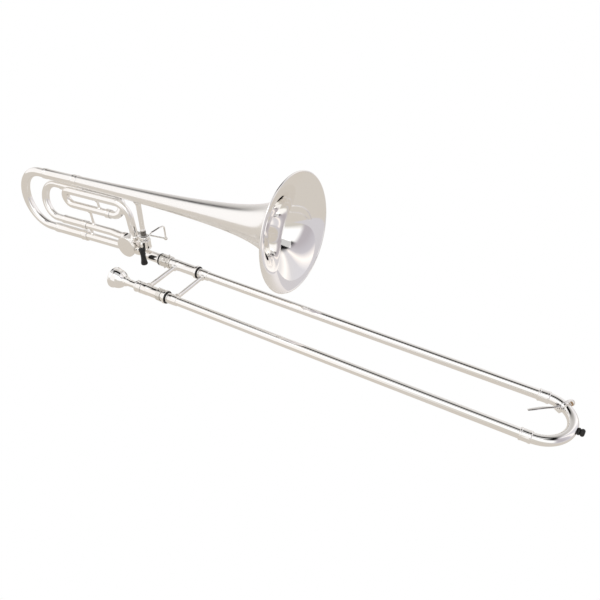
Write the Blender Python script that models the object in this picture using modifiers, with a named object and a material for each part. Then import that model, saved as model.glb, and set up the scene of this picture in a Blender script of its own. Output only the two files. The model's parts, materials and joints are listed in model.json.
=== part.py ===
"""Tenor trombone with a closed-wrap F attachment, built in metres, +Z up.

The row's origin is the centre of the hand grip, the brace between the two inner slide
tubes.  +X runs along the slides to the bow, and the two slide tubes lie in the XY plane.
The bell section has its own frame, whose X axis is parallel to the bell.
"""
import math

import bmesh
import bpy
from mathutils import Vector

GAP = 0.0003                # play left between touching pieces

# slide
SLIDE_HALF = 0.045          # half the distance between the slide tubes
INNER_R, STOCKING_R, INNER_BORE = 0.0070, 0.0073, 0.0065
OUTER_R, OUTER_BORE, COLLAR_R = 0.0080, 0.0076, 0.0096
BARREL_R = 0.0098
BARREL_END = 0.050          # open end of the cork barrels
OUTER_START = 0.053
BOW_JOINT = 0.6970          # outer tubes end and bow begins
BOW_CENTRE = 0.7014
INNER_TUBE_END = 0.688
OUTER_BRACE_X = 0.065
NUT_START, NUT_END = -0.038, -0.014

# bell section frame, and places in it
BELL_FRAME = (0.006, SLIDE_HALF, 0.0)
BELL_PITCH = math.radians(-3.65)
BELL_ROLL = math.radians(-3.0)
BELL_Z = 0.1290             # height of the bell's axis
LEG_Z = 0.0094              # height of the lower leg
RIM_X, RIM_R = 0.2626, 0.1000
FLARE_LENGTH, FLARE_POWER = 0.0205, 0.7
BELL_WALL = 0.0008
TAIL_X = -0.240             # rear end of the bell's tail
CROOK_X = -0.3435           # centre of the tuning slide's bend
SLEEVE_X = -0.324           # rear end of the tuning slide's sleeves
LEG_FRONT = -0.262          # front end of the tuning slide's legs
CROOK_R, LEG_R, TUBE_WALL = 0.0090, 0.0085, 0.0006
GOOSE_X, GOOSE_R = -0.2450, 0.0082

# F attachment
F_R = 0.0075
F_LOW = (0.0, 0.0340)       # (y, z) of its straight tubes
F_HIGH = (0.0108, 0.1050)
LOOP_HIGH = (-0.0066, 0.1070)
LOOP_LOW = (-0.0030, 0.0760)
F_CROOK_X, F_SLEEVE_X, F_SLEEVE_END, F_LEG_FRONT = -0.3155, -0.300, -0.240, -0.252
LOOP_REAR, LOOP_FRONT = -0.274, -0.132
DROP_X = -0.1065            # tube that drops into the valve

# valve
VALVE_X, VALVE_Z = -0.1175, 0.0205
CASING_R, CASING_BORE, CASING_HALF = 0.0195, 0.0186, 0.0150
ROTOR_R, ROTOR_HALF = 0.0180, 0.0126
PORT_OFFSET = 0.0110
STOP_PIN_R = 0.0097

# trigger
POST_X = -0.082
BALL = Vector((-0.0647, 0.040, 0.025))
THUMB = Vector((-0.072, -0.020, 0.032))
THUMB_LENGTH = 0.039

# water key
KEY_TURN = math.radians(58.0)           # its place round the bow, from +X
KEY_PIVOT = (-0.0114, 0.0062)           # (outwards, up) from the bow's centre line

FINE, MEDIUM, COARSE = 28, 16, 12


# ---------------------------------------------------------------- scene and materials

for old in list(bpy.data.objects):
    bpy.data.objects.remove(old, do_unlink=True)

parts = bpy.data.collections.new("trombone")
cutters = bpy.data.collections.new("cutters")
for collection in (parts, cutters):
    bpy.context.scene.collection.children.link(collection)


def material(name, colour, roughness, metallic):
    made = bpy.data.materials.new(name)
    made.use_nodes = True
    shader = made.node_tree.nodes["Principled BSDF"]
    shader.inputs["Base Color"].default_value = (*colour, 1.0)
    shader.inputs["Roughness"].default_value = roughness
    shader.inputs["Metallic"].default_value = metallic
    return made


FINISHES = {
    "silver": ((0.86, 0.84, 0.80), 0.12, 1.0),
    "nickel": ((0.72, 0.71, 0.68), 0.20, 1.0),
    "steel": ((0.35, 0.34, 0.33), 0.35, 1.0),
    "brass": ((0.72, 0.55, 0.28), 0.30, 1.0),
    "rubber": ((0.02, 0.02, 0.02), 0.60, 0.0),
    "cork": ((0.55, 0.38, 0.22), 0.85, 0.0),
}


def place(node, finish, location, rotation, parent):
    node.location = location
    node.rotation_euler = rotation
    node.parent = parent
    node.data.materials.clear()
    node.data.materials.append(material(node.name, *FINISHES[finish]))


# ---------------------------------------------------------------- shape helpers

AXIS_TURN = {
    "X": (0.0, math.radians(90.0), 0.0),
    "Y": (math.radians(-90.0), 0.0, 0.0),
    "Z": (0.0, 0.0, 0.0),
}


def turned(name, outer, inner=(), finish="silver", segments=MEDIUM, axis="X",
           at=(0.0, 0.0, 0.0), parent=None):
    """A turned piece.  outer and inner are (distance along the axis, radius) pairs, each
    from the far end to the near end; without inner the piece is solid."""
    if inner:
        points = list(outer) + list(reversed(inner))
    else:
        points = [(outer[0][0], 0.0), *outer, (outer[-1][0], 0.0)]
    shape = bmesh.new()
    verts = [shape.verts.new((radius, 0.0, along)) for along, radius in points]
    for first, second in zip(verts, verts[1:]):
        shape.edges.new((first, second))
    if inner:
        shape.edges.new((verts[-1], verts[0]))
    mesh = bpy.data.meshes.new(name)
    shape.to_mesh(mesh)
    shape.free()
    node = bpy.data.objects.new(name, mesh)
    parts.objects.link(node)
    screw = node.modifiers.new("Turn", "SCREW")
    screw.axis = "Z"
    screw.steps = screw.render_steps = segments
    screw.use_merge_vertices = True
    screw.merge_threshold = 0.00001
    screw.use_smooth_shade = True
    place(node, finish, at, AXIS_TURN[axis], parent)
    return node


def clear(radius, segments=MEDIUM):
    """The bore that clears a round piece of this radius even at the middle of a facet."""
    return radius / math.cos(math.pi / segments) + GAP


def ring(name, start, end, bore, radius, **options):
    return turned(name, [(end, radius), (start, radius)], [(end, bore), (start, bore)], **options)


def rounded(waypoints, bend, steps=7):
    """The waypoints joined by straight runs and bends of the given radius."""
    points = [Vector(waypoints[0])]
    for before, corner, after in zip(waypoints, waypoints[1:], waypoints[2:]):
        before, corner, after = Vector(before), Vector(corner), Vector(after)
        arrive = (corner - before).normalized()
        leave = (after - corner).normalized()
        turn = arrive.angle(leave)
        setback = bend * math.tan(turn / 2.0)
        start = corner - arrive * setback
        centre = start + (leave - arrive * arrive.dot(leave)).normalized() * bend
        spoke = start - centre
        for step in range(steps + 1):
            angle = turn * step / steps
            points.append(centre + spoke * math.cos(angle) + arrive * bend * math.sin(angle))
    points.append(Vector(waypoints[-1]))
    tidy = [points[0]]
    for point in points[1:]:
        if (point - tidy[-1]).length > 0.0002:
            tidy.append(point)
    return tidy


def curve_mesh(name, points, radius, sides, caps, taper=None):
    """A POLY curve with a round bevel, as a mesh object."""
    curve = bpy.data.curves.new(name, "CURVE")
    curve.dimensions = "3D"
    curve.bevel_depth = radius
    curve.bevel_resolution = (sides - 4) // 2
    curve.use_fill_caps = caps
    spline = curve.splines.new("POLY")
    spline.points.add(len(points) - 1)
    for index, point in enumerate(points):
        spline.points[index].co = (*point, 1.0)
        spline.points[index].radius = taper(point) if taper else 1.0
    guide = bpy.data.objects.new(name + "_curve", curve)
    parts.objects.link(guide)
    depsgraph = bpy.context.evaluated_depsgraph_get()
    mesh = bpy.data.meshes.new_from_object(guide.evaluated_get(depsgraph))
    mesh.name = name
    bpy.data.objects.remove(guide, do_unlink=True)
    shape = bmesh.new()
    shape.from_mesh(mesh)
    bmesh.ops.remove_doubles(shape, verts=shape.verts, dist=0.000005)
    shape.to_mesh(mesh)
    shape.free()
    mesh.shade_smooth()
    mesh.set_sharp_from_angle(angle=math.radians(40.0))
    node = bpy.data.objects.new(name, mesh)
    parts.objects.link(node)
    return node


def tube(name, points, radius, wall=TUBE_WALL, finish="silver", sides=10, taper=None,
         at=(0.0, 0.0, 0.0), parent=None):
    """An open tube along the points; wall is its thickness."""
    node = curve_mesh(name, points, radius, sides, False, taper)
    shell = node.modifiers.new("Wall", "SOLIDIFY")
    shell.thickness = wall
    shell.offset = -1.0
    place(node, finish, at, (0.0, 0.0, 0.0), parent)
    return node


def rod(name, points, radius, finish="silver", sides=8, at=(0.0, 0.0, 0.0), parent=None):
    node = curve_mesh(name, points, radius, sides, True)
    place(node, finish, at, (0.0, 0.0, 0.0), parent)
    return node


def cylinder(name, radius, length, segments, location, axis, parent):
    """A plain cylinder, centred on its location."""
    shape = bmesh.new()
    bmesh.ops.create_cone(shape, cap_ends=True, segments=segments, radius1=radius,
                          radius2=radius, depth=length)
    mesh = bpy.data.meshes.new(name)
    shape.to_mesh(mesh)
    shape.free()
    node = bpy.data.objects.new(name, mesh)
    parts.objects.link(node)
    node.location = location
    node.rotation_euler = AXIS_TURN[axis]
    node.parent = parent
    return node


def box(name, low, high, parent):
    shape = bmesh.new()
    bmesh.ops.create_cube(shape, size=1.0)
    size = [high[i] - low[i] for i in range(3)]
    centre = [(high[i] + low[i]) / 2.0 for i in range(3)]
    bmesh.ops.scale(shape, vec=size, verts=shape.verts)
    bmesh.ops.translate(shape, vec=centre, verts=shape.verts)
    mesh = bpy.data.meshes.new(name)
    shape.to_mesh(mesh)
    shape.free()
    node = bpy.data.objects.new(name, mesh)
    parts.objects.link(node)
    node.parent = parent
    return node


def boolean(node, tool, operation):
    """Cut or join with a tool, which becomes a hidden guide."""
    if parts.objects.get(tool.name):
        parts.objects.unlink(tool)
        cutters.objects.link(tool)
    tool.hide_render = True
    tool.display_type = "WIRE"
    change = node.modifiers.new(operation.title(), "BOOLEAN")
    change.operation = operation
    change.object = tool


def empty(name, location, rotation=(0.0, 0.0, 0.0), parent=None, order="XYZ"):
    frame = bpy.data.objects.new(name, None)
    parts.objects.link(frame)
    frame.rotation_mode = order
    frame.location = location
    frame.rotation_euler = rotation
    frame.parent = parent
    return frame


# ---------------------------------------------------------------- slide

def side_places():
    return (("far", SLIDE_HALF), ("near", -SLIDE_HALF))


def inner_slide():
    for side, y in side_places():
        stocking = INNER_TUBE_END - 0.110
        turned("inner_tube_" + side,
               [(INNER_TUBE_END, STOCKING_R), (stocking, STOCKING_R), (stocking - 0.001, INNER_R),
                (0.001, INNER_R)],
               [(INNER_TUBE_END, INNER_BORE), (0.001, INNER_BORE)],
               segments=COARSE, at=(0.0, y, 0.0))
        outer = [(BARREL_END, 0.0118), (BARREL_END - 0.0010, 0.0123),
                 (BARREL_END - 0.0050, 0.0123), (BARREL_END - 0.0060, BARREL_R)]
        inner = [(BARREL_END, 0.0086), (0.002, 0.0086), (0.0015, INNER_R + GAP)]
        if side == "far":        # its tenon reaches into the bell section's receiver
            outer += [(-0.0140, 0.0096), (-0.0145, 0.0078), (-0.0500, 0.0070)]
            inner += [(0.0005, INNER_R + GAP), (0.0, INNER_BORE), (-0.0500, 0.0061)]
        else:
            outer += [(-0.0068, BARREL_R)]
            inner += [(-0.0068, INNER_R + GAP)]
        turned("cork_barrel_" + side, outer, inner, at=(0.0, y, 0.0))
        ring("barrel_ring_" + side, BARREL_END + GAP, OUTER_START - GAP, 0.0086, 0.0121,
             finish="rubber", at=(0.0, y, 0.0))
    turned("mouthpiece_receiver",
           [(-0.0072, 0.0100), (-0.0080, 0.0106), (-0.0110, 0.0106), (-0.0120, 0.0100),
            (-0.0170, 0.0100), (-0.0178, 0.0108), (-0.0200, 0.0108), (-0.0206, 0.0102)],
           [(-0.0072, 0.0066), (-0.0206, 0.0068)], at=(0.0, -SLIDE_HALF, 0.0))
    reach = SLIDE_HALF - BARREL_R - GAP
    half = [(reach, 0.0065), (reach - 0.0025, 0.0065), (reach - 0.0050, 0.0042),
            (0.012, 0.0040), (0.010, 0.0046), (0.006, 0.0046)]
    turned("inner_brace", half + [(-along, radius) for along, radius in reversed(half)],
           axis="Y", segments=COARSE)


def lock_nut():
    knobs = 4
    nut = turned("lock_nut",
                 [(NUT_END, 0.0108), (NUT_END - 0.002, 0.0118), (-0.0200, 0.0118),
                  (-0.0215, 0.0110), (-0.0300, 0.0110), (-0.0315, 0.0118),
                  (NUT_START + 0.001, 0.0118), (NUT_START, 0.0112)],
                 [(NUT_END, 0.0098), (NUT_START, 0.0098)],
                 finish="nickel", at=(0.0, SLIDE_HALF, 0.0))
    for index in range(knobs):
        angle = 2.0 * math.pi * index / knobs + math.radians(45.0)
        knob = cylinder("nut_knob_%d" % index, 0.0020, 0.0034, 8,
                        (-0.0258, SLIDE_HALF + 0.0121 * math.cos(angle), 0.0121 * math.sin(angle)),
                        "Z", None)
        knob.rotation_euler = (angle - math.radians(90.0), 0.0, 0.0)
        boolean(nut, knob, "UNION")


def mouthpiece():
    rim = -0.0770
    turned("mouthpiece",
           [(0.0060, 0.0050), (-0.0210, 0.0062), (-0.0300, 0.0064), (-0.0420, 0.0068),
            (-0.0460, 0.0080), (-0.0490, 0.0098), (-0.0510, 0.0098), (-0.0530, 0.0104),
            (-0.0600, 0.0142), (-0.0680, 0.0166), (-0.0720, 0.0172), (rim + 0.0040, 0.0194),
            (rim + 0.0010, 0.0197), (rim, 0.0186)],
           [(0.0060, 0.0042), (-0.0400, 0.0034), (-0.0520, 0.0034), (-0.0580, 0.0070),
            (-0.0660, 0.0110), (-0.0730, 0.0126), (rim, 0.0138)],
           at=(0.0, -SLIDE_HALF, 0.0))


def outer_slide():
    for side, y in side_places():
        turned("outer_tube_" + side,
               [(BOW_JOINT, OUTER_R), (0.0740, OUTER_R), (0.0735, 0.0092), (0.0560, COLLAR_R),
                (0.0555, OUTER_R), (OUTER_START, OUTER_R)],
               [(BOW_JOINT, OUTER_BORE), (OUTER_START, OUTER_BORE)],
               segments=COARSE, at=(0.0, y, 0.0))
        turned("bow_ferrule_" + side,
               [(0.7030, 0.0088), (0.7015, 0.0094), (0.6990, 0.0094), (0.6985, 0.0090),
                (0.6890, 0.0090), (0.6885, 0.0095), (0.6865, 0.0095), (0.6855, 0.0088)],
               [(0.7030, clear(OUTER_R)), (0.6855, clear(OUTER_R))],
               at=(0.0, y, 0.0))
    reach = SLIDE_HALF - COLLAR_R - GAP
    half = [(reach, 0.0060), (reach - 0.0025, 0.0060), (reach - 0.0050, 0.0040), (0.010, 0.0038)]
    turned("outer_brace", half + [(-along, radius) for along, radius in reversed(half)],
           axis="Y", segments=COARSE, at=(OUTER_BRACE_X, 0.0, 0.0))
    start = BOW_JOINT + GAP
    sweep = [Vector((start, SLIDE_HALF, 0.0))]
    for step in range(13):
        angle = math.radians(90.0 - 15.0 * step)
        sweep.append(Vector((BOW_CENTRE + SLIDE_HALF * math.cos(angle),
                             SLIDE_HALF * math.sin(angle), 0.0)))
    sweep.append(Vector((start, -SLIDE_HALF, 0.0)))
    tube("bow", sweep, OUTER_R, wall=0.0005)
    apex = BOW_CENTRE + SLIDE_HALF + OUTER_R
    turned("bumper_socket",
           [(apex + 0.0030, 0.0046), (apex + 0.0026, 0.0054), (apex + GAP, 0.0054)],
           finish="rubber", segments=COARSE)
    turned("bow_bumper",
           [(apex + 0.0096, 0.0030), (apex + 0.0090, 0.0044), (apex + 0.0074, 0.0056),
            (apex + 0.0054, 0.0058), (apex + 0.0038, 0.0050), (apex + 0.0030 + GAP, 0.0042)],
           finish="rubber")


def slide_lock():
    """A ring on the near barrel with a lug that hooks the outer slide's collar."""
    lock = ring("slide_lock_ring", 0.0300, 0.0395, BARREL_R + 0.0004, 0.0112,
                finish="nickel", at=(0.0, -SLIDE_HALF, 0.0))
    grip = cylinder("lock_grip", 0.0016, 0.0055, 8, (0.0348, -SLIDE_HALF, 0.0131), "Z", None)
    boolean(lock, grip, "UNION")


def water_key():
    on_bow = (BOW_CENTRE + SLIDE_HALF * math.cos(KEY_TURN), SLIDE_HALF * math.sin(KEY_TURN), 0.0)
    frame = empty("water_key_frame", on_bow, (0.0, 0.0, KEY_TURN))
    pivot_x, pivot_z = KEY_PIVOT
    turned("drain_nipple", [(0.0116, 0.0030), (0.0099, 0.0034)],
           [(0.0116, 0.0016), (0.0099, 0.0016)], finish="nickel", segments=COARSE, parent=frame)
    saddle = box("water_key_saddle", (-0.0140, -0.0052, -0.0030), (-0.0091, 0.0052, 0.0022), frame)
    place(saddle, "silver", (0.0, 0.0, 0.0), (0.0, 0.0, 0.0), frame)
    for side in (-1.0, 1.0):
        ends = sorted((side * 0.0036, side * 0.0052))
        ear = box("ear_%+d" % side, (-0.0138, ends[0], 0.0010), (-0.0093, ends[1], 0.0086), frame)
        boolean(saddle, ear, "UNION")
    hole = cylinder("pin_hole", 0.0013, 0.0200, 12, (pivot_x, 0.0, pivot_z), "Y", frame)
    boolean(saddle, hole, "DIFFERENCE")
    turned("water_key_pin",
           [(0.0064, 0.0016), (0.0056, 0.0016), (0.0055, 0.0009), (-0.0060, 0.0009)],
           finish="steel", segments=12, axis="Y", at=(pivot_x, 0.0, pivot_z), parent=frame)
    lane = -0.0018
    arm = [(-0.0585, 0.0130, 0.0090), (-0.0360, 0.0065, 0.0087), (-0.0200, 0.0000, 0.0084),
           (pivot_x, lane, pivot_z + 0.0028), (-0.0080, lane, 0.0108), (-0.0050, lane, 0.0118),
           (0.0050, lane, 0.0118), (0.0120, lane, 0.0095), (0.0158, lane, 0.0050),
           (0.0165, lane, 0.0000)]
    pivot = Vector((pivot_x, 0.0, pivot_z))
    lever = rod("water_key_lever", [Vector(point) - pivot for point in arm], 0.0013,
                at=pivot, parent=frame)
    hub = ring("key_hub", lane - 0.0014, lane + 0.0014, 0.0013, 0.0034, segments=12, axis="Y",
               at=pivot, parent=frame)
    boolean(lever, hub, "UNION")
    cup = cylinder("key_cup", 0.0038, 0.0014, 12, (0.0149, -0.0006, 0.0), "X", frame)
    boolean(lever, cup, "UNION")
    bore = cylinder("key_bore", 0.0013, 0.0200, 12, (pivot_x, 0.0, pivot_z), "Y", frame)
    boolean(lever, bore, "DIFFERENCE")
    turned("water_key_cork", [(0.0139, 0.0034), (0.0119, 0.0034)], finish="cork",
           segments=COARSE, parent=frame)
    turns, per_turn = 2, 8
    coil = []
    for step in range(turns * per_turn + 1):
        angle = 2.0 * math.pi * step / per_turn
        coil.append(Vector((0.0021 * math.cos(angle), 0.0006 + 0.0024 * step / (turns * per_turn),
                            0.0021 * math.sin(angle))))
    rod("water_key_spring", coil, 0.00030, finish="steel", at=pivot, parent=frame)


# ---------------------------------------------------------------- bell section

def bell_radius(x):
    """A Bessel horn: the radius falls with a power of the distance behind the rim."""
    back = RIM_X - x
    return RIM_R * ((back + FLARE_LENGTH) / FLARE_LENGTH) ** -FLARE_POWER


def bell(frame):
    """The bell's stations crowd together towards the rim, where it flares most."""
    stations = 13
    outer, inner = [], []
    for index in range(stations):
        share = index / (stations - 1)
        x = RIM_X - (RIM_X - TAIL_X) * share ** 2.3
        radius = bell_radius(x)
        slope = FLARE_POWER * radius / (RIM_X - x + FLARE_LENGTH)
        lean = math.hypot(1.0, slope)
        outer.append((x, radius))
        inner.append((x + BELL_WALL * slope / lean, radius - BELL_WALL / lean))
    inner[-1] = (TAIL_X, bell_radius(TAIL_X) - BELL_WALL)
    turned("bell", outer, inner, segments=FINE, at=(0.0, 0.0, BELL_Z), parent=frame)
    bore = RIM_R + 0.0005
    bead = [(RIM_X + 0.0002 + 0.0014 * math.sin(math.radians(turn)),
             bore + 0.0014 * math.cos(math.radians(turn)))
            for turn in (80.0, 30.0, -30.0, -80.0)]
    turned("bell_rim", bead, [(bead[0][0], bore), (bead[-1][0], bore)],
           segments=FINE, at=(0.0, 0.0, BELL_Z), parent=frame)


def tuning_slide(frame):
    bend = (BELL_Z - LEG_Z) / 2.0
    far_back = CROOK_X - bend
    route = rounded([(LEG_FRONT, 0.0, BELL_Z), (far_back, 0.0, BELL_Z),
                     (far_back, 0.0, LEG_Z), (LEG_FRONT, 0.0, LEG_Z)], bend, steps=6)

    def taper(point):
        share = (point[2] - LEG_Z) / (BELL_Z - LEG_Z)
        return (LEG_R + (CROOK_R - LEG_R) * share) / CROOK_R

    tube("tuning_slide", route, CROOK_R, taper=taper, parent=frame)
    for name, z, radius in (("upper", BELL_Z, CROOK_R), ("lower", LEG_Z, LEG_R)):
        bore, skin = clear(radius), clear(radius) + 0.0007
        end = TAIL_X if name == "upper" else GOOSE_X
        mate = bell_radius(TAIL_X) if name == "upper" else GOOSE_R
        band = max(mate, skin) + 0.0012
        turned("tuning_sleeve_" + name,
               [(end + 0.0080, mate + 0.0008), (end + 0.0070, band), (end - 0.0060, band),
                (end - 0.0070, skin), (SLEEVE_X, skin)],
               [(end + 0.0080, clear(mate + 0.0002)), (end, clear(mate)), (end - 0.0003, bore),
                (SLEEVE_X, bore)],
               at=(0.0, 0.0, z), parent=frame)
        turned("tuning_ferrule_" + name,
               [(SLEEVE_X - GAP, skin - 0.0004), (SLEEVE_X - 0.0015, skin + 0.0005),
                (SLEEVE_X - 0.0045, skin + 0.0005), (SLEEVE_X - 0.0060, skin - 0.0004)],
               [(SLEEVE_X - GAP, bore), (SLEEVE_X - 0.0060, bore)], at=(0.0, 0.0, z),
               parent=frame)
    return tube("gooseneck", [Vector((GOOSE_X, 0.0, LEG_Z)), Vector((VALVE_X, 0.0, LEG_Z))],
                GOOSE_R, parent=frame)


def f_attachment(frame):
    """The extra tubing that the valve switches in, wound inside the main loop."""
    port = VALVE_Z + PORT_OFFSET
    low = tube("f_lower_tube",
               rounded([(F_SLEEVE_END, *F_LOW), (-0.165, *F_LOW), (-0.145, 0.0, port),
                        (VALVE_X, 0.0, port)], 0.040, steps=3),
               F_R, parent=frame)
    crook_bend = (Vector((0.0, *F_HIGH)) - Vector((0.0, *F_LOW))).length / 2.0
    back = F_CROOK_X - crook_bend
    tube("f_tuning_slide",
         rounded([(F_LEG_FRONT, *F_LOW), (back, *F_LOW), (back, *F_HIGH), (F_LEG_FRONT, *F_HIGH)],
                 crook_bend, steps=5),
         F_R, parent=frame)
    for name, (y, z) in (("lower", F_LOW), ("upper", F_HIGH)):
        bore = clear(F_R, COARSE)
        turned("f_sleeve_" + name,
               [(F_SLEEVE_END + 0.0070, bore + 0.0004), (F_SLEEVE_END + 0.0060, bore + 0.0013),
                (F_SLEEVE_END - 0.0040, bore + 0.0013), (F_SLEEVE_END - 0.0050, bore + 0.0007),
                (F_SLEEVE_X, bore + 0.0007)],
               [(F_SLEEVE_END + 0.0070, bore), (F_SLEEVE_X, bore)],
               segments=COARSE, at=(0.0, y, z), parent=frame)
    right = (Vector((0.0, *F_HIGH)) - Vector((0.0, *LOOP_LOW))).length / 2.0
    tube("f_upper_tube",
         rounded([(F_SLEEVE_END, *F_HIGH), (LOOP_FRONT, *F_HIGH), (LOOP_FRONT, *LOOP_LOW),
                  (LOOP_FRONT - 0.0300, *LOOP_LOW)], right, steps=4),
         F_R, parent=frame)
    left = (Vector((0.0, *LOOP_HIGH)) - Vector((0.0, *LOOP_LOW))).length / 2.0
    drop = 0.0280
    route = rounded([(LOOP_FRONT - 0.0306, *LOOP_LOW), (LOOP_REAR, *LOOP_LOW),
                     (LOOP_REAR, *LOOP_HIGH), (-0.1900, *LOOP_HIGH)], left, steps=4)
    route = route[:-1] + rounded([(-0.1900, *LOOP_HIGH), (DROP_X, *LOOP_HIGH),
                                  (DROP_X, 0.0, VALVE_Z)], drop, steps=4)
    descending = tube("f_loop_tube", route, F_R, parent=frame)
    turned("loop_ferrule",
           [(LOOP_FRONT - 0.0240, F_R + 0.0011), (LOOP_FRONT - 0.0250, F_R + 0.0018),
            (LOOP_FRONT - 0.0350, F_R + 0.0018), (LOOP_FRONT - 0.0360, F_R + 0.0011)],
           [(LOOP_FRONT - 0.0240, clear(F_R, COARSE)), (LOOP_FRONT - 0.0360, clear(F_R, COARSE))],
           segments=COARSE, at=(0.0, *LOOP_LOW), parent=frame)
    return low, descending


def stay(name, x, low, high, frame, radius=0.0022):
    """A small turned brace between two tubes; low and high are their (y, z, radius)."""
    bottom, top = Vector((x, *low[:2])), Vector((x, *high[:2]))
    run = (top - bottom).normalized()
    start, end = bottom + run * (low[2] + GAP), top - run * (high[2] + GAP)
    length = (end - start).length
    flare = radius + 0.0014
    node = turned(name,
                  [(length, flare), (length - 0.0012, flare), (length - 0.0028, radius),
                   (0.0028, radius), (0.0012, flare), (0.0, flare)],
                  segments=12, axis="Z", at=start, parent=frame)
    node.rotation_euler = run.to_track_quat("Z", "Y").to_euler()
    return node


def valve(frame, goose, low, descending):
    centre = (VALVE_X, 0.0, VALVE_Z)
    room = cylinder("casing_clearance", CASING_R + GAP, 0.060, 24, centre, "Y", frame)
    for piece in (goose, low, descending):
        boolean(piece, room, "DIFFERENCE")
    casing = ring("valve_casing", -CASING_HALF, CASING_HALF, CASING_BORE, CASING_R,
                  segments=24, axis="Y", at=centre, parent=frame)
    for name, radius, x, z, axis in (
            ("port_rear_low", GOOSE_R, VALVE_X - 0.020, LEG_Z, "X"),
            ("port_rear_high", F_R, VALVE_X - 0.020, VALVE_Z + PORT_OFFSET, "X"),
            ("port_front", GOOSE_R, VALVE_X + 0.020, LEG_Z, "X"),
            ("port_top", F_R, DROP_X, VALVE_Z + 0.024, "Z")):
        hole = cylinder(name, radius - TUBE_WALL, 0.030, 12, (x, 0.0, z), axis, frame)
        boolean(casing, hole, "DIFFERENCE")
    rotor = turned("valve_rotor",
                   [(0.0206, 0.0034), (ROTOR_HALF + 0.0004, 0.0034), (ROTOR_HALF, ROTOR_R),
                    (-ROTOR_HALF, ROTOR_R), (-ROTOR_HALF - 0.0004, 0.0034), (-0.0148, 0.0034)],
                   finish="brass", segments=24, axis="Y", at=centre, parent=frame)
    for sign in (-1.0, 1.0):
        groove = cylinder("groove_%+d" % sign, F_R - TUBE_WALL, 0.050, 16,
                          (VALVE_X, 0.0, VALVE_Z + sign * PORT_OFFSET), "X", frame)
        boolean(rotor, groove, "DIFFERENCE")
    turned("valve_cap",
           [(-CASING_HALF - GAP, 0.0203), (-0.0178, 0.0203), (-0.0184, 0.0196),
            (-0.0190, 0.0150), (-0.0192, 0.0060)],
           axis="Y", segments=24, at=centre, parent=frame)
    turned("valve_back_plate",
           [(0.0178, 0.0190), (0.0172, 0.0201), (CASING_HALF + GAP, 0.0201)],
           [(0.0178, 0.0039), (CASING_HALF + GAP, 0.0039)],
           axis="Y", segments=24, at=centre, parent=frame)
    arm = ring("stop_arm", 0.0182, 0.0232, 0.0037, 0.0062, finish="nickel", segments=16,
               axis="Y", at=centre, parent=frame)
    bar = box("arm_bar", (-0.0030, 0.0208, 0.0050), (0.0030, 0.0232, 0.0125), frame)
    bar.location = centre
    bar.rotation_euler = (0.0, math.radians(-45.0), 0.0)
    boolean(arm, bar, "UNION")
    lean = STOP_PIN_R * math.sin(math.radians(45.0))
    pin = cylinder("arm_pin", 0.0014, 0.0060, 10,
                   (VALVE_X - lean, 0.0250, VALVE_Z + lean), "Y", frame)
    boolean(arm, pin, "UNION")
    turned("stop_screw", [(0.0256, 0.0034), (0.0250, 0.0042), (0.0236, 0.0042)],
           finish="steel", segments=16, axis="Y", at=centre, parent=frame)
    for name, side in (("rear", -1.0), ("front", 1.0)):
        angle = math.radians(82.0) * side
        turned("stop_bumper_" + name, [(0.0236, 0.0024), (0.0181, 0.0024)], finish="rubber",
               segments=12, axis="Y", parent=frame,
               at=(VALVE_X + 0.0135 * math.sin(angle), 0.0, VALVE_Z + 0.0135 * math.cos(angle)))


def neck(frame):
    """The tube from the valve to the slide receiver, which lies on the slide's axis."""
    start = frame.matrix_world @ Vector((VALVE_X, 0.0, LEG_Z))
    port = frame.matrix_world @ Vector((VALVE_X + 0.020, 0.0, LEG_Z))
    route = [start, port, (-0.0790, SLIDE_HALF, 0.0), (-0.0762, SLIDE_HALF, 0.0)]
    tube_node = tube("neck_tube", rounded(route, 0.012, steps=2), 0.0086)
    boolean(tube_node, bpy.data.objects["casing_clearance"], "DIFFERENCE")
    turned("slide_receiver",
           [(-0.0410, 0.0096), (-0.0420, 0.0101), (-0.0445, 0.0101), (-0.0455, 0.0095),
            (-0.0720, 0.0093), (-0.0730, 0.0099), (-0.0750, 0.0099), (-0.0758, 0.0092)],
           [(-0.0410, 0.0084), (-0.0758, 0.0076)], at=(0.0, SLIDE_HALF, 0.0))
    ring("receiver_ring", -0.0407, NUT_START - GAP, 0.0084, 0.0118, finish="rubber",
         at=(0.0, SLIDE_HALF, 0.0))


def bell_brace(frame):
    top = BELL_Z - bell_radius(POST_X) - 0.0006
    turned("lever_post",
           [(0.0455, 0.0050), (0.0382, 0.0050), (0.0380, 0.0112), (0.0370, 0.0120),
            (0.0212, 0.0120), (0.0202, 0.0112), (0.0190, 0.0112)],
           axis="Z", at=(POST_X, 0.0, 0.0), parent=frame)
    turned("brace_nut",
           [(0.0600, 0.0056), (0.0590, 0.0064), (0.0470, 0.0064), (0.0459, 0.0056)],
           finish="steel", segments=16, axis="Z", at=(POST_X, 0.0, 0.0), parent=frame)
    turned("bell_brace",
           [(top, 0.0075), (top - 0.0020, 0.0075), (top - 0.0050, 0.0054), (0.0640, 0.0048),
            (0.0620, 0.0054), (0.0604, 0.0054)],
           segments=16, axis="Z", at=(POST_X, 0.0, 0.0), parent=frame)


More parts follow.
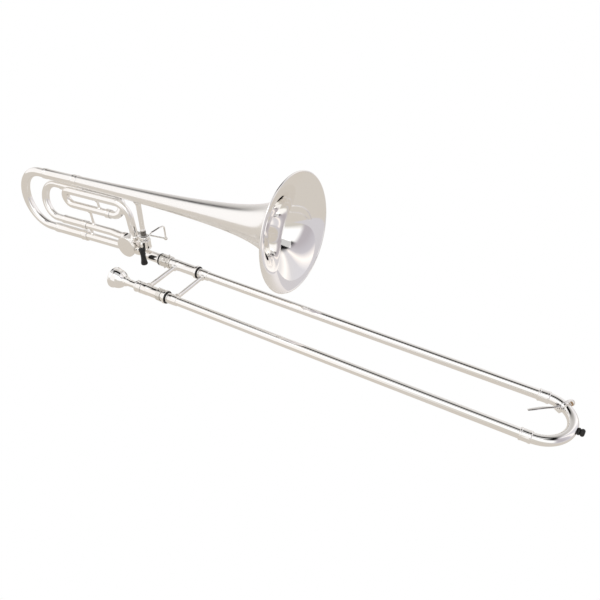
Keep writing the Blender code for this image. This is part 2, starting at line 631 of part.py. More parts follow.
def trigger(frame):
    pivot = empty("trigger_pivot", (POST_X, 0.0, 0.0), parent=frame)
    hub = ring("trigger_lever", 0.0386, 0.0450, 0.0056, 0.0098, segments=16, axis="Z",
               parent=pivot)
    ball = BALL - Vector((POST_X, 0.0, 0.0))
    thumb = THUMB - Vector((POST_X, 0.0, 0.0))
    strap = rod("strap",
                rounded([(thumb.x, thumb.y, thumb.z + GAP), (thumb.x, thumb.y, 0.0400),
                         (0.0085, -0.0010, 0.0425), (0.0112, 0.0110, 0.0500),
                         (0.0150, 0.0280, 0.0530), (ball.x, ball.y, 0.0525),
                         (ball.x, ball.y, ball.z + 0.0040)], 0.0040, steps=3),
                0.0019, parent=pivot)
    boolean(hub, strap, "UNION")
    turned("thumb_piece",
           [(0.0, 0.0058), (-0.0020, 0.0070), (-0.0060, 0.0070), (-0.0140, 0.0056),
            (-0.0220, 0.0054), (-0.0300, 0.0064), (-0.0350, 0.0073),
            (-THUMB_LENGTH + 0.0025, 0.0070), (-THUMB_LENGTH, 0.0046)],
           finish="rubber", segments=16, axis="Z", at=thumb, parent=pivot)
    ball_end = cylinder("ball_end", 0.0032, 0.0064, 12, BALL, "Z", frame)
    eye = Vector((VALVE_X - STOP_PIN_R * math.sin(math.radians(45.0)), 0.0300,
                  VALVE_Z + STOP_PIN_R * math.cos(math.radians(45.0))))
    link = rod("link_rod", [BALL, eye], 0.0014, finish="nickel", parent=frame)
    boolean(link, ball_end, "UNION")
    boss = cylinder("link_boss", 0.0030, 0.0030, 12, eye, "Y", frame)
    boolean(link, boss, "UNION")


def bell_section():
    frame = empty("bell_frame", BELL_FRAME, (BELL_ROLL, BELL_PITCH, 0.0), order="ZYX")
    bpy.context.view_layer.update()
    bell(frame)
    goose = tuning_slide(frame)
    low, descending = f_attachment(frame)
    valve(frame, goose, low, descending)
    neck(frame)
    bell_brace(frame)
    trigger(frame)
    stay("stay_loop", -0.185, (*LOOP_LOW, F_R), (*LOOP_HIGH, F_R), frame)
    stay("stay_f_to_loop", -0.215, (*F_LOW, F_R), (*LOOP_LOW, F_R), frame)
    stay("stay_leg_to_f", -0.225, (0.0, LEG_Z, GOOSE_R), (*F_LOW, F_R), frame)


inner_slide()
lock_nut()
mouthpiece()
outer_slide()
slide_lock()
water_key()
bell_section()
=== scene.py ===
import json
import math

import bmesh
import bpy
from mathutils import Matrix, Vector


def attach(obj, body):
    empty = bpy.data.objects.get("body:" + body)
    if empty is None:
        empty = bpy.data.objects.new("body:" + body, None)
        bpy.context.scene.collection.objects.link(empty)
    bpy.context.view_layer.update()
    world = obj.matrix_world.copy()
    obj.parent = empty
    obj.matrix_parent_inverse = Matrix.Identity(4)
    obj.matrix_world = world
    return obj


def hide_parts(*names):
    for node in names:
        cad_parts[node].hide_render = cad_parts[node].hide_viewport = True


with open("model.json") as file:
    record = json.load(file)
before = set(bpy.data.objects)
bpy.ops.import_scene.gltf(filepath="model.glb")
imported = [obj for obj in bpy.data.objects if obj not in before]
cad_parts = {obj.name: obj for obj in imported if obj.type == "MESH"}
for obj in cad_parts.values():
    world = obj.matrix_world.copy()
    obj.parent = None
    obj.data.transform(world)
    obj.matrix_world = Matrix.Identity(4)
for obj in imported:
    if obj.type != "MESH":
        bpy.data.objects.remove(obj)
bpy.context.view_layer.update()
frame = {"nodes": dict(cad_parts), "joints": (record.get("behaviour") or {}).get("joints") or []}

joints = {joint["name"]: joint for joint in frame["joints"]}
print("frame loaded:", len(frame["nodes"]), "nodes")


# camera, lights and floor

rightAngle = math.radians(90.0)
cameraView = {"place": (0.7870, -0.7827, 0.7436), "lens": 42.46, "nearest": 0.01, "down": 36.61,
              "heading": 31.9, "roll": -1.0}
floorPlan = {"height": -0.46, "size": 9.0, "seen": (1.0, 1.0, 1.0), "mirrored": (0.66, 0.615, 0.56),
             "beyond": (0.66, 0.64, 0.67), "line": (0.93, 0.36, 0.0), "edge": (2.02, 2.10),
             "back": (0.86, 0.82, 0.82), "backEdge": (0.9, 2.0)}
studioSky = {"strength": 1.1, "side": (0.85, 0.53), "lean": 0.18, "turn": 0.25,
             "left": (0.93, 0.91, 0.90), "leftEdge": (0.45, 0.68), "rightEdge": (0.36, 0.60),
             "right": ((0.21, (0.46, 0.43, 0.46)), (0.33, (0.56, 0.54, 0.58)), (0.39, (1.08, 1.02, 0.98)),
                       (0.45, (0.68, 0.67, 0.71)), (0.53, (0.70, 0.69, 0.72)), (0.595, (1.08, 1.04, 1.02)),
                       (0.67, (0.78, 0.76, 0.77)), (0.80, (1.0, 0.98, 0.98))),
             "hatch": (0.24, -0.03, 0.97), "hatchEdge": (0.942, 0.958), "dark": (0.005, 0.005, 0.005),
             "arch": ((0.0, (0.62, 0.585, 0.53)), (0.14, (0.58, 0.555, 0.51)), (0.21, (1.0, 1.0, 1.0)),
                      (0.39, (1.0, 1.0, 1.0)), (0.42, (0.0, 0.0, 0.0)), (0.63, (0.0, 0.0, 0.0)),
                      (0.66, (0.30, 0.29, 0.28)), (0.72, (0.52, 0.50, 0.48)), (1.0, (0.84, 0.83, 0.83)))}
softBox = {"place": (0.15, -0.35, 1.5), "size": (2.2, 1.1), "watts": 5.0}


def addObject(name, data):
    made = bpy.data.objects.new(name, data)
    bpy.context.scene.collection.objects.link(made)
    return made


def addCamera():
    data = bpy.data.cameras.new("camera")
    data.lens = cameraView["lens"]
    data.clip_start = cameraView["nearest"]
    camera = addObject("camera", data)
    turn = (Matrix.Rotation(math.radians(cameraView["heading"]), 4, "Z")
            @ Matrix.Rotation(rightAngle - math.radians(cameraView["down"]), 4, "X")
            @ Matrix.Rotation(math.radians(cameraView["roll"]), 4, "Z"))
    camera.matrix_world = Matrix.Translation(cameraView["place"]) @ turn
    bpy.context.scene.camera = camera


# shader maths: a wire is a socket that adds, subtracts and multiplies like a number

class Wire:
    def __init__(self, graph, socket):
        self.graph = graph
        self.socket = socket

    def __add__(self, other):
        return self.graph.maths("ADD", self, other)

    def __radd__(self, other):
        return self.graph.maths("ADD", other, self)

    def __sub__(self, other):
        return self.graph.maths("SUBTRACT", self, other)

    def __rsub__(self, other):
        return self.graph.maths("SUBTRACT", other, self)

    def __mul__(self, other):
        return self.graph.maths("MULTIPLY", self, other)

    def __rmul__(self, other):
        return self.graph.maths("MULTIPLY", other, self)

    def __pow__(self, other):
        return self.graph.maths("POWER", self, other)


class Graph:
    def __init__(self, owner):
        owner.use_nodes = True
        self.owner = owner
        self.tree = owner.node_tree

    def add(self, kind, settings=None, inputs=None, output=0):
        node = self.tree.nodes.new(kind)
        for name, value in (settings or {}).items():
            if name == "stops":
                self.setStops(node.color_ramp, value)
            else:
                setattr(node, name, value)
        for name, value in (inputs or {}).items():
            self.feed(node.inputs[name], value)
        return Wire(self, node.outputs[output])

    def setStops(self, ramp, stops):
        while len(ramp.elements) < len(stops):
            ramp.elements.new(1.0)
        for element, (place, colour) in zip(ramp.elements, stops):
            element.position = place
            element.color = (*colour, 1.0)

    def feed(self, socket, value):
        if isinstance(value, Wire):
            self.tree.links.new(value.socket, socket)
        elif socket.type == "RGBA":
            socket.default_value = (*value, 1.0)
        else:
            socket.default_value = value

    def maths(self, operation, first, second):
        return self.add("ShaderNodeMath", {"operation": operation}, {0: first, 1: second})

    def bearing(self, rise, run):
        # an angle in half turns
        return self.maths("ARCTAN2", rise, run) * (1.0 / math.pi)

    def reach(self, place, line):
        return self.add("ShaderNodeVectorMath", {"operation": "DOT_PRODUCT"}, {0: place, 1: line},
                        output="Value")

    def step(self, value, low, high):
        return self.add("ShaderNodeMapRange", {"interpolation_type": "SMOOTHSTEP"},
                        {"Value": value, "From Min": low, "From Max": high}, output="Result")

    def ramp(self, value, stops):
        return self.add("ShaderNodeValToRGB", {"stops": stops}, {"Fac": value}, output="Color")

    def blend(self, factor, first, second):
        return self.add("ShaderNodeMix", {"data_type": "RGBA"}, {0: factor, 6: first, 7: second}, output=2)

    def place(self):
        return self.add("ShaderNodeTexCoord", output="Object")

    def stretched(self, turn, scale):
        # Object coordinates turned so that X runs along the piece, then stretched
        return self.add("ShaderNodeMapping", {"vector_type": "TEXTURE"},
                        {"Vector": self.place(), "Rotation": turn, "Scale": [1.0 / part for part in scale]})

    def noise(self, place, scale, detail=3.0, rough=0.5):
        return self.add("ShaderNodeTexNoise", inputs={"Vector": place, "Scale": scale, "Detail": detail,
                                                      "Roughness": rough}, output="Fac")

    def cameraSees(self):
        return self.add("ShaderNodeLightPath", output="Is Camera Ray")


def addSky():
    # an arch over the object: a pale wall in front, a dark gap overhead, grey behind
    look = studioSky
    world = bpy.data.worlds.new("studio")
    bpy.context.scene.world = world
    graph = Graph(world)
    sky = world.node_tree.nodes["Background"]
    direction = graph.add("ShaderNodeTexCoord", output="Generated")
    x, y, z = (graph.add("ShaderNodeSeparateXYZ", inputs={0: direction}, output=i) for i in range(3))
    sideX, sideY = look["side"]
    side = x * sideX + y * sideY
    near = x * sideY - y * sideX
    arch = graph.ramp(graph.bearing(z, near) + x * look["lean"], look["arch"])
    right = graph.ramp(graph.bearing(y, x) + look["turn"], look["right"])
    around = graph.blend(graph.step(0.0 - side, *look["leftEdge"]), arch, look["left"])
    around = graph.blend(graph.step(side, *look["rightEdge"]), around, right)
    hatch = graph.step(graph.reach(direction, look["hatch"]), *look["hatchEdge"])
    around = graph.blend(hatch, around, look["dark"])
    graph.feed(sky.inputs["Color"], graph.blend(graph.cameraSees(), around, floorPlan["seen"]))
    sky.inputs["Strength"].default_value = look["strength"]


def addFloor():
    look = floorPlan
    shape = bmesh.new()
    bmesh.ops.create_grid(shape, x_segments=1, y_segments=1, size=look["size"])
    bmesh.ops.translate(shape, vec=(0.0, 0.0, look["height"]), verts=shape.verts)
    mesh = bpy.data.meshes.new("floor")
    shape.to_mesh(mesh)
    shape.free()
    graph = Graph(bpy.data.materials.new("palePaper"))
    nodes = graph.tree.nodes
    nodes.remove(nodes["Principled BSDF"])
    seen = graph.add("ShaderNodeEmission", inputs={"Color": look["seen"]})
    place = graph.place()
    depth = graph.add("ShaderNodeSeparateXYZ", inputs={0: place}, output=1)
    table = graph.blend(graph.step(depth, *look["backEdge"]), look["mirrored"], look["back"])
    table = graph.blend(graph.step(graph.reach(place, look["line"]), *look["edge"]), table, look["beyond"])
    plain = graph.add("ShaderNodeEmission", inputs={"Color": table})
    mixed = graph.add("ShaderNodeMixShader", inputs={0: graph.cameraSees(), 1: plain, 2: seen})
    graph.feed(nodes["Material Output"].inputs["Surface"], mixed)
    mesh.materials.append(graph.owner)
    addObject("floor", mesh)


def addSoftBox():
    data = bpy.data.lights.new("softBox", "AREA")
    data.shape = "RECTANGLE"
    data.size, data.size_y = softBox["size"]
    data.energy = softBox["watts"]
    addObject("softBox", data).location = softBox["place"]


addCamera()
addSky()
addFloor()
addSoftBox()
bpy.context.scene.view_settings.view_transform = "Standard"
print("camera, lights and floor ready")


# finishes; scales are per metre, and depths are in metres

silverPlate = {"bright": (0.955, 0.945, 0.932), "warm": (0.93, 0.885, 0.82), "tarnishScale": 9.0,
               "tarnishStart": 0.45, "tarnishGain": 1.6, "polish": 0.03, "spunPolish": 0.18,
               "smudge": 0.2, "smudgeScale": 34.0, "lineScale": (900.0, 60.0, 60.0), "lineGloss": 0.05,
               "rippleScale": 60.0, "relief": 0.015, "depth": 0.0004}
satinMetal = {"lineScale": (1600.0, 90.0, 90.0), "cloudScale": 70.0, "cloudTone": 0.8, "cloudGloss": 0.12,
              "lineGloss": 0.10, "relief": 0.12, "depth": 0.0003}
nickelSilver = {"bright": (0.84, 0.83, 0.80), "dull": (0.74, 0.71, 0.66), "polish": 0.08}
darkSteel = {"bright": (0.24, 0.225, 0.21), "dull": (0.24, 0.225, 0.21), "polish": 0.28}
lappedBrass = {"bright": (0.80, 0.62, 0.33), "dull": (0.62, 0.45, 0.22), "polish": 0.22}
blackRubber = {"colour": (0.004, 0.004, 0.0045), "worn": (0.013, 0.0125, 0.0125), "wearScale": 160.0,
               "polish": 0.38, "wearGloss": 0.25, "grainScale": 1400.0, "relief": 0.25, "depth": 0.0003}
naturalCork = {"light": (0.56, 0.38, 0.22), "dark": (0.24, 0.13, 0.06), "tones": (0.30, 0.62),
               "cellScale": 1500.0, "pitScale": 900.0, "polish": 0.7, "relief": 0.6, "depth": 0.0004}


def painted(graph, look, metallic, colour, roughness, height):
    # joins a finish to its shader
    shader = graph.tree.nodes["Principled BSDF"]
    shader.inputs["Metallic"].default_value = metallic
    bump = graph.add("ShaderNodeBump", inputs={"Strength": look["relief"], "Distance": look["depth"],
                                               "Height": height})
    for socket, value in (("Base Color", colour), ("Roughness", roughness), ("Normal", bump)):
        graph.feed(shader.inputs[socket], value)
    return graph.owner


def silver(name, turn, flared=False):
    # plated silver: buffing lines around the tube, faint smudges, and a little warm tarnish
    look, graph = silverPlate, Graph(bpy.data.materials.new(name))
    place = graph.place()
    lines = graph.noise(graph.stretched(turn, look["lineScale"]), 1.0, 2.0)
    smudge = graph.noise(place, look["smudgeScale"], 4.0, 0.6)
    tarnish = (graph.noise(place, look["tarnishScale"]) - look["tarnishStart"]) * look["tarnishGain"]
    ripple = graph.noise(place, look["rippleScale"], 1.0)
    tarnish = graph.add("ShaderNodeClamp", inputs={"Value": tarnish})
    colour = graph.blend(tarnish, look["bright"], look["warm"])
    polish = look["polish"]
    if flared:
        inside = graph.add("ShaderNodeAttribute", {"attribute_name": "inside"}, output="Fac")
        polish = (1.0 - inside) * (look["spunPolish"] - polish) + polish
    gloss = smudge ** 3.0 * look["smudge"] + (lines - 0.5) * look["lineGloss"] + polish
    return painted(graph, look, 1.0, colour, gloss, lines * 0.5 + ripple * 0.4)


def satin(name, metal, turn):
    # turned metal with a satin face: fine lines, and a duller tone in the low spots
    look, graph = satinMetal, Graph(bpy.data.materials.new(name))
    lines = graph.noise(graph.stretched(turn, look["lineScale"]), 1.0)
    cloud = graph.noise(graph.place(), look["cloudScale"], 4.0)
    colour = graph.blend(cloud * look["cloudTone"], metal["bright"], metal["dull"])
    gloss = cloud * look["cloudGloss"] + lines * look["lineGloss"] + metal["polish"]
    return painted(graph, look, 1.0, colour, gloss, lines)


def rubber():
    look, graph = blackRubber, Graph(bpy.data.materials.new("blackRubber"))
    place = graph.place()
    grain = graph.noise(place, look["grainScale"], 2.0)
    wear = graph.noise(place, look["wearScale"], 4.0)
    return painted(graph, look, 0.0, graph.blend(wear ** 2.0, look["colour"], look["worn"]),
                   wear * look["wearGloss"] + look["polish"], grain)


def cork():
    look, graph = naturalCork, Graph(bpy.data.materials.new("naturalCork"))
    place = graph.place()
    cells = graph.add("ShaderNodeTexVoronoi", inputs={"Vector": place, "Scale": look["cellScale"]},
                      output="Distance")
    pits = graph.noise(place, look["pitScale"], 5.0, 0.7)
    colour = graph.ramp(cells * 0.5 + pits * 0.6, tuple(zip(look["tones"], (look["dark"], look["light"]))))
    return painted(graph, look, 0.0, colour, pits * 0.2 + look["polish"], pits)


# the bell section's own frame, read from its joints, with X along the bell and Z up

bellAlong = -Vector(joints["tuning_slide_pull"]["axis"])
bellSide = Vector(joints["rotor_turn"]["axis"])
valvePlace = (-0.1175, 0.0, 0.0205)                 # the valve's centre in that frame
bellTurn = Matrix((bellAlong, bellSide, bellAlong.cross(bellSide))).transposed()
bellFrame = (Matrix.Translation(Vector(joints["rotor_turn"]["pos_m"]) - bellTurn @ Vector(valvePlace))
             @ bellTurn.to_4x4())
bellAngles = bellTurn.to_euler()

# the water key's frame, with X out through the bow's wall and Y along its pivot
keyJoint = joints["water_key_press"]
keySide = -Vector(keyJoint["axis"])
keyOut = keySide.cross(Vector((0.0, 0.0, 1.0)))
keyPivot = (-0.0114, 0.0062)
keyFrame = (Matrix.Translation(Vector(keyJoint["pos_m"]) - keyOut * keyPivot[0]
                               - Vector((0.0, 0.0, keyPivot[1])))
            @ Matrix((keyOut, keySide, (0.0, 0.0, 1.0))).transposed().to_4x4())

crosswise = Matrix.Rotation(rightAngle, 4, "Z")          # X to Y
upright = Matrix.Rotation(-rightAngle, 4, "Y")           # X to Z

slideSilver = silver("silverSlide", (0.0, 0.0, 0.0))
crossSilver = silver("silverCross", (0.0, 0.0, rightAngle))
bellSilver = silver("silverBell", bellAngles)
flareSilver = silver("silverFlare", bellAngles, True)
postSilver = silver("silverPost", (0.0, -rightAngle, 0.0))
nickel = satin("satinNickel", nickelSilver, (0.0, 0.0, 0.0))
steel = satin("springSteel", darkSteel, (0.0, 0.0, 0.0))
brass = satin("lappedBrass", lappedBrass, (0.0, 0.0, rightAngle))
blackPart = rubber()
corkPad = cork()
slots = {surface: "silver" for surface in (slideSilver, crossSilver, bellSilver, flareSilver, postSilver)}
slots.update({nickel: "nickel", steel: "steel", brass: "brass", blackPart: "rubber", corkPad: "cork"})
print("finishes made:", len(slots))


# shape helpers

meshing = {"merge": 0.000002, "crease": 32.0, "straight": 9.0, "closest": 0.00005}


def finished(name, shape, surface, body, nodes, at=Matrix(), wall=0.0):
    # turns a bmesh into a piece that rides its body in place of its nodes
    bmesh.ops.remove_doubles(shape, verts=shape.verts, dist=meshing["merge"])
    bmesh.ops.recalc_face_normals(shape, faces=shape.faces)
    if wall:
        bmesh.ops.solidify(shape, geom=shape.faces[:], thickness=wall)
    bmesh.ops.transform(shape, matrix=at, verts=shape.verts)
    if shape.calc_volume(signed=True) < 0.0:
        bmesh.ops.reverse_faces(shape, faces=shape.faces)
    mesh = bpy.data.meshes.new(name)
    shape.to_mesh(mesh)
    shape.free()
    mesh.shade_smooth()
    mesh.set_sharp_from_angle(angle=math.radians(meshing["crease"]))
    mesh.materials.append(surface)
    piece = addObject(name, mesh)
    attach(piece, body)
    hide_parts(*nodes)
    return piece


def softened(points, closed, rounding, steps=3):
    # the outline with its corners rounded
    made = []
    count = len(points)
    for index, point in enumerate(points):
        here = Vector(point)
        if not closed and index in (0, count - 1):
            made.append(here)
            continue
        arrive = here - Vector(points[index - 1])
        leave = Vector(points[(index + 1) % count]) - here
        turn = arrive.angle(leave)
        if turn < math.radians(meshing["straight"]):
            made.append(here)
            continue
        setback = min(rounding * math.tan(turn / 2.0), 0.45 * arrive.length, 0.45 * leave.length)
        start, end = here - arrive.normalized() * setback, here + leave.normalized() * setback
        for step in range(steps + 1):
            share = step / steps
            made.append(start * (1.0 - share) ** 2 + here * 2.0 * share * (1.0 - share) + end * share ** 2)
    return made


def spun(shape, outer, inner=(), sides=64, rounding=0.0003):
    # a turned piece about X; outer and inner are (along, radius) from one end to the other
    if inner:
        outline = softened([*outer, *reversed(inner)], True, rounding)
    else:
        outline = softened([(outer[0][0], 0.0), *outer, (outer[-1][0], 0.0)], False, rounding)
    verts = [shape.verts.new((along, radius, 0.0)) for along, radius in outline]
    edges = [shape.edges.new(pair) for pair in zip(verts, verts[1:])]
    if inner:
        edges.append(shape.edges.new((verts[-1], verts[0])))
    bmesh.ops.spin(shape, geom=verts + edges, cent=(0.0, 0.0, 0.0), axis=(1.0, 0.0, 0.0),
                   angle=2.0 * math.pi, steps=sides, use_merge=True)


def turned(name, outer, inner, surface, body, nodes, at=Matrix(), sides=64, rounding=0.0003):
    shape = bmesh.new()
    spun(shape, outer, inner, sides, rounding)
    return finished(name, shape, surface, body, nodes, at)


def rounded(waypoints, bend, steps=16):
    # straight runs joined by bends of one radius
    points = [Vector(waypoints[0])]
    for before, corner, after in zip(waypoints, waypoints[1:], waypoints[2:]):
        corner = Vector(corner)
        arrive = (corner - Vector(before)).normalized()
        leave = (Vector(after) - corner).normalized()
        turn = arrive.angle(leave)
        start = corner - arrive * bend * math.tan(turn / 2.0)
        centre = start + (leave - arrive * arrive.dot(leave)).normalized() * bend
        spoke = start - centre
        for step in range(steps + 1):
            angle = turn * step / steps
            points.append(centre + spoke * math.cos(angle) + arrive * bend * math.sin(angle))
    points.append(Vector(waypoints[-1]))
    return [point for index, point in enumerate(points)
            if index == 0 or (point - points[index - 1]).length > meshing["closest"]]


def swept(shape, route, sizes, across=None, sides=40, capped=True):
    # an oval carried along a route; sizes are (half width, half height) at each point
    heading = []
    for index, point in enumerate(route):
        before, after = route[max(index - 1, 0)], route[min(index + 1, len(route) - 1)]
        heading.append((after - before).normalized())
    first = heading[0]
    across = Vector(across) if across else first.orthogonal()
    across = (across - first * across.dot(first)).normalized()
    turn = Matrix((across, first.cross(across), first)).transposed()
    places = []
    for index, point in enumerate(route):
        if index:
            turn = heading[index - 1].rotation_difference(heading[index]).to_matrix() @ turn
        oval = Matrix.Diagonal((*sizes[index], 1.0, 1.0))
        places.append(Matrix.Translation(point) @ turn.to_4x4() @ oval)
    ring = bmesh.ops.create_circle(shape, segments=sides, radius=1.0)["verts"]
    edges = list(dict.fromkeys(edge for vert in ring for edge in vert.link_edges))
    bmesh.ops.transform(shape, matrix=places[0], verts=ring)
    ends = [edges]
    for before, after in zip(places, places[1:]):
        grown = bmesh.ops.extrude_edge_only(shape, edges=edges)["geom"]
        ring = [item for item in grown if isinstance(item, bmesh.types.BMVert)]
        edges = [item for item in grown if isinstance(item, bmesh.types.BMEdge)]
        bmesh.ops.transform(shape, matrix=after @ before.inverted(), verts=ring)
    ends.append(edges)
    if capped:
        for end in ends:
            bmesh.ops.edgeloop_fill(shape, edges=end)


def tube(name, route, radius, wall, surface, body, nodes, at=Matrix(), sides=44, taper=None):
    shape = bmesh.new()
    sizes = [(taper(point),) * 2 if taper else (radius, radius) for point in route]
    swept(shape, route, sizes, sides=sides, capped=False)
    return finished(name, shape, surface, body, nodes, at, wall)


def domed(route, radius, steps=5):
    # a rod's route and sizes with a round nose at each end
    first, last = (route[0] - route[1]).normalized(), (route[-1] - route[-2]).normalized()
    start, end = [], []
    for step in range(steps):
        angle = rightAngle * (step + 0.25) / steps
        size = radius * math.sin(angle)
        start.append((route[0] + first * radius * (math.cos(angle) - 1.0), size))
        end.insert(0, (route[-1] + last * radius * (math.cos(angle) - 1.0), size))
    middle = [(point, radius) for point in route[1:-1]]
    whole = start + middle + end
    return [point for point, size in whole], [(size, size) for point, size in whole]


def rod(shape, route, radius, sides=28):
    route, sizes = domed(route, radius)
    swept(shape, route, sizes, sides=sides)


def knurl(shape, low, high, reach, depth):
    # pulls each face of a band outwards, which leaves grooves between
    band = [face for face in shape.faces
            if low < face.calc_center_median().x < high
            and math.hypot(*face.calc_center_median().yz) > reach]
    bmesh.ops.inset_individual(shape, faces=band, thickness=depth * 0.5, depth=depth)


# slide

slideTube = {"half": 0.045, "inner": 0.0070, "stocking": 0.0073, "bore": 0.0065, "innerEnd": 0.688,
             "stockingLength": 0.110, "outer": 0.0080, "outerBore": 0.0076, "wall": 0.0005,
             "outerStart": 0.052, "bowJoint": 0.697, "bowCentre": 0.7014, "bowSteps": 48}
barrel = {"end": 0.050, "radius": 0.0098, "bore": 0.0086}
innerBrace = {"place": 0.0, "reach": 0.0349, "waist": 0.0040, "foot": 0.0066}
outerBrace = {"place": 0.065, "reach": 0.0351, "waist": 0.0038, "foot": 0.0061}
farSide = Matrix.Translation((0.0, slideTube["half"], 0.0))
nearSide = Matrix.Translation((0.0, -slideTube["half"], 0.0))
slideSides = (("Far", "_far", farSide), ("Near", "_near", nearSide))


def makeInnerSlide():
    look = slideTube
    far, step = look["innerEnd"], look["innerEnd"] - look["stockingLength"]
    end, radius, bore = barrel["end"], barrel["radius"], barrel["bore"]
    for title, ending, at in slideSides:
        turned("innerTube" + title,
               [(far, look["stocking"]), (step, look["stocking"]), (step - 0.004, look["inner"]),
                (0.001, look["inner"])],
               [(far, look["bore"]), (0.001, look["bore"])],
               slideSilver, "inner_slide", ["inner_tube" + ending], at, sides=56)
        outer = [(end, 0.0119), (end - 0.0006, 0.0124), (end - 0.0046, 0.0124), (end - 0.0052, 0.0116),
                 (end - 0.0066, 0.0100), (end - 0.0090, radius), (0.0062, radius), (0.0058, 0.0103),
                 (-0.0052, 0.0103), (-0.0058, radius)]
        inner = [(end, bore), (0.002, bore), (0.0015, 0.0073)]
        if title == "Far":
            outer += [(-0.0136, radius), (-0.0140, 0.0094), (-0.0145, 0.0078), (-0.0500, 0.0070)]
            inner += [(0.0005, 0.0073), (0.0, 0.0065), (-0.0500, 0.0061)]
        else:
            outer += [(-0.0068, radius)]
            inner += [(-0.0068, 0.0073)]
        turned("corkBarrel" + title, outer, inner, slideSilver, "inner_slide", ["cork_barrel" + ending], at)
        turned("barrelRing" + title,
               [(end + 0.0002, 0.0110), (end + 0.0005, 0.0115), (end + 0.0013, 0.0115),
                (end + 0.0016, 0.0110)],
               [(end + 0.0002, bore), (end + 0.0016, bore)],
               blackPart, "inner_slide", ["barrel_ring" + ending], at, rounding=0.0006)
    turned("mouthpieceReceiver",
           [(-0.0072, 0.0100), (-0.0080, 0.0106), (-0.0110, 0.0106), (-0.0118, 0.0100),
            (-0.0170, 0.0098), (-0.0178, 0.0108), (-0.0200, 0.0110), (-0.0206, 0.0103)],
           [(-0.0072, 0.0066), (-0.0206, 0.0068)],
           slideSilver, "inner_slide", ["mouthpiece_receiver"], nearSide, rounding=0.0006)
    braceBetween("innerBrace", innerBrace, "inner_slide", "inner_brace")


def braceBetween(name, look, body, node):
    # a turned brace across the slide: a foot with a cove at each end
    reach, waist, foot = look["reach"], look["waist"], look["foot"]
    half = [(reach, foot), (reach - 0.0018, foot), (reach - 0.0024, foot - 0.0012)]
    for step in range(6):
        swing = math.sin(rightAngle * step / 5.0)
        half.append((reach - 0.0026 - 0.0036 * swing,
                     waist + (foot - 0.0014 - waist) * (1.0 - swing) ** 1.6))
    half += [(0.0120, waist), (0.0040, waist + 0.0001)]
    turned(name, half + [(-along, radius) for along, radius in reversed(half)], [],
           crossSilver, body, [node], Matrix.Translation((look["place"], 0.0, 0.0)) @ crosswise, sides=48)


lockNut = {"front": -0.014, "back": -0.038, "knobs": 4, "knob": 0.0020, "knobPlace": -0.0258,
           "knobReach": (0.0104, 0.0118, 0.0139), "groove": 0.0003}


def makeLockNut():
    front, back = lockNut["front"], lockNut["back"]
    shape = bmesh.new()
    spun(shape,
         [(front, 0.0106), (front - 0.0016, 0.0118), (-0.0196, 0.0118), (-0.0212, 0.0111),
          (-0.0302, 0.0111), (-0.0316, 0.0117), (back + 0.0010, 0.0117), (back, 0.0110)],
         [(front, 0.0100), (back, 0.0100)], sides=72)
    knurl(shape, -0.0190, -0.0160, 0.0115, lockNut["groove"])
    knurl(shape, -0.0365, -0.0322, 0.0114, lockNut["groove"])
    base = Vector((lockNut["knobPlace"], 0.0, 0.0))
    for index in range(lockNut["knobs"]):
        angle = 2.0 * math.pi * (index + 0.5) / lockNut["knobs"]
        out = Vector((0.0, math.cos(angle), math.sin(angle)))
        rod(shape, [base + out * reach for reach in lockNut["knobReach"]], lockNut["knob"], sides=24)
    finished("lockNutKnurled", shape, nickel, "lock_nut", ["lock_nut"], farSide)


cup = {"rim": -0.0770, "rimRadius": 0.0197, "bite": 0.0136, "throat": 0.0034}


def makeMouthpiece():
    rim = cup["rim"]
    outer = [(0.0060, 0.0050), (-0.0210, 0.0062), (-0.0300, 0.0065), (-0.0400, 0.0068), (-0.0438, 0.0074),
             (-0.0450, 0.0086), (-0.0462, 0.0090), (-0.0474, 0.0086), (-0.0486, 0.0084), (-0.0505, 0.0094),
             (-0.0535, 0.0124), (-0.0570, 0.0151), (-0.0610, 0.0169), (-0.0655, 0.0178), (-0.0695, 0.0180),
             (-0.0708, 0.0177), (-0.0718, 0.0184), (-0.0730, 0.0194), (-0.0740, cup["rimRadius"]),
             (rim + 0.0018, cup["rimRadius"]), (rim + 0.0006, 0.0192), (rim, 0.0178)]
    inner = [(0.0060, 0.0042), (-0.0380, cup["throat"]), (-0.0510, cup["throat"]), (-0.0530, 0.0040),
             (-0.0560, 0.0070), (-0.0600, 0.0096), (-0.0650, 0.0115), (-0.0700, 0.0126), (-0.0740, 0.0131),
             (rim + 0.0012, cup["bite"]), (rim + 0.0002, 0.0148)]
    turned("mouthpieceCup", outer, inner, slideSilver, "mouthpiece", ["mouthpiece"], nearSide, sides=96,
           rounding=0.0016)


slideLock = {"front": 0.0395, "back": 0.0300, "radius": 0.0113, "bore": 0.0102, "pin": 0.0016,
             "pinPlace": 0.0348, "pinReach": (0.0106, 0.0130, 0.0158)}


def makeSlideLock():
    front, back, radius, bore = (slideLock[name] for name in ("front", "back", "radius", "bore"))
    shape = bmesh.new()
    spun(shape, [(front, radius - 0.0003), (front - 0.0007, radius), (back + 0.0007, radius),
                 (back, radius - 0.0003)],
         [(front, bore), (back, bore)], sides=72)
    rod(shape, [Vector((slideLock["pinPlace"], 0.0, reach)) for reach in slideLock["pinReach"]],
        slideLock["pin"], sides=24)
    finished("slideLockRing", shape, nickel, "slide_lock", ["slide_lock_ring"], nearSide)


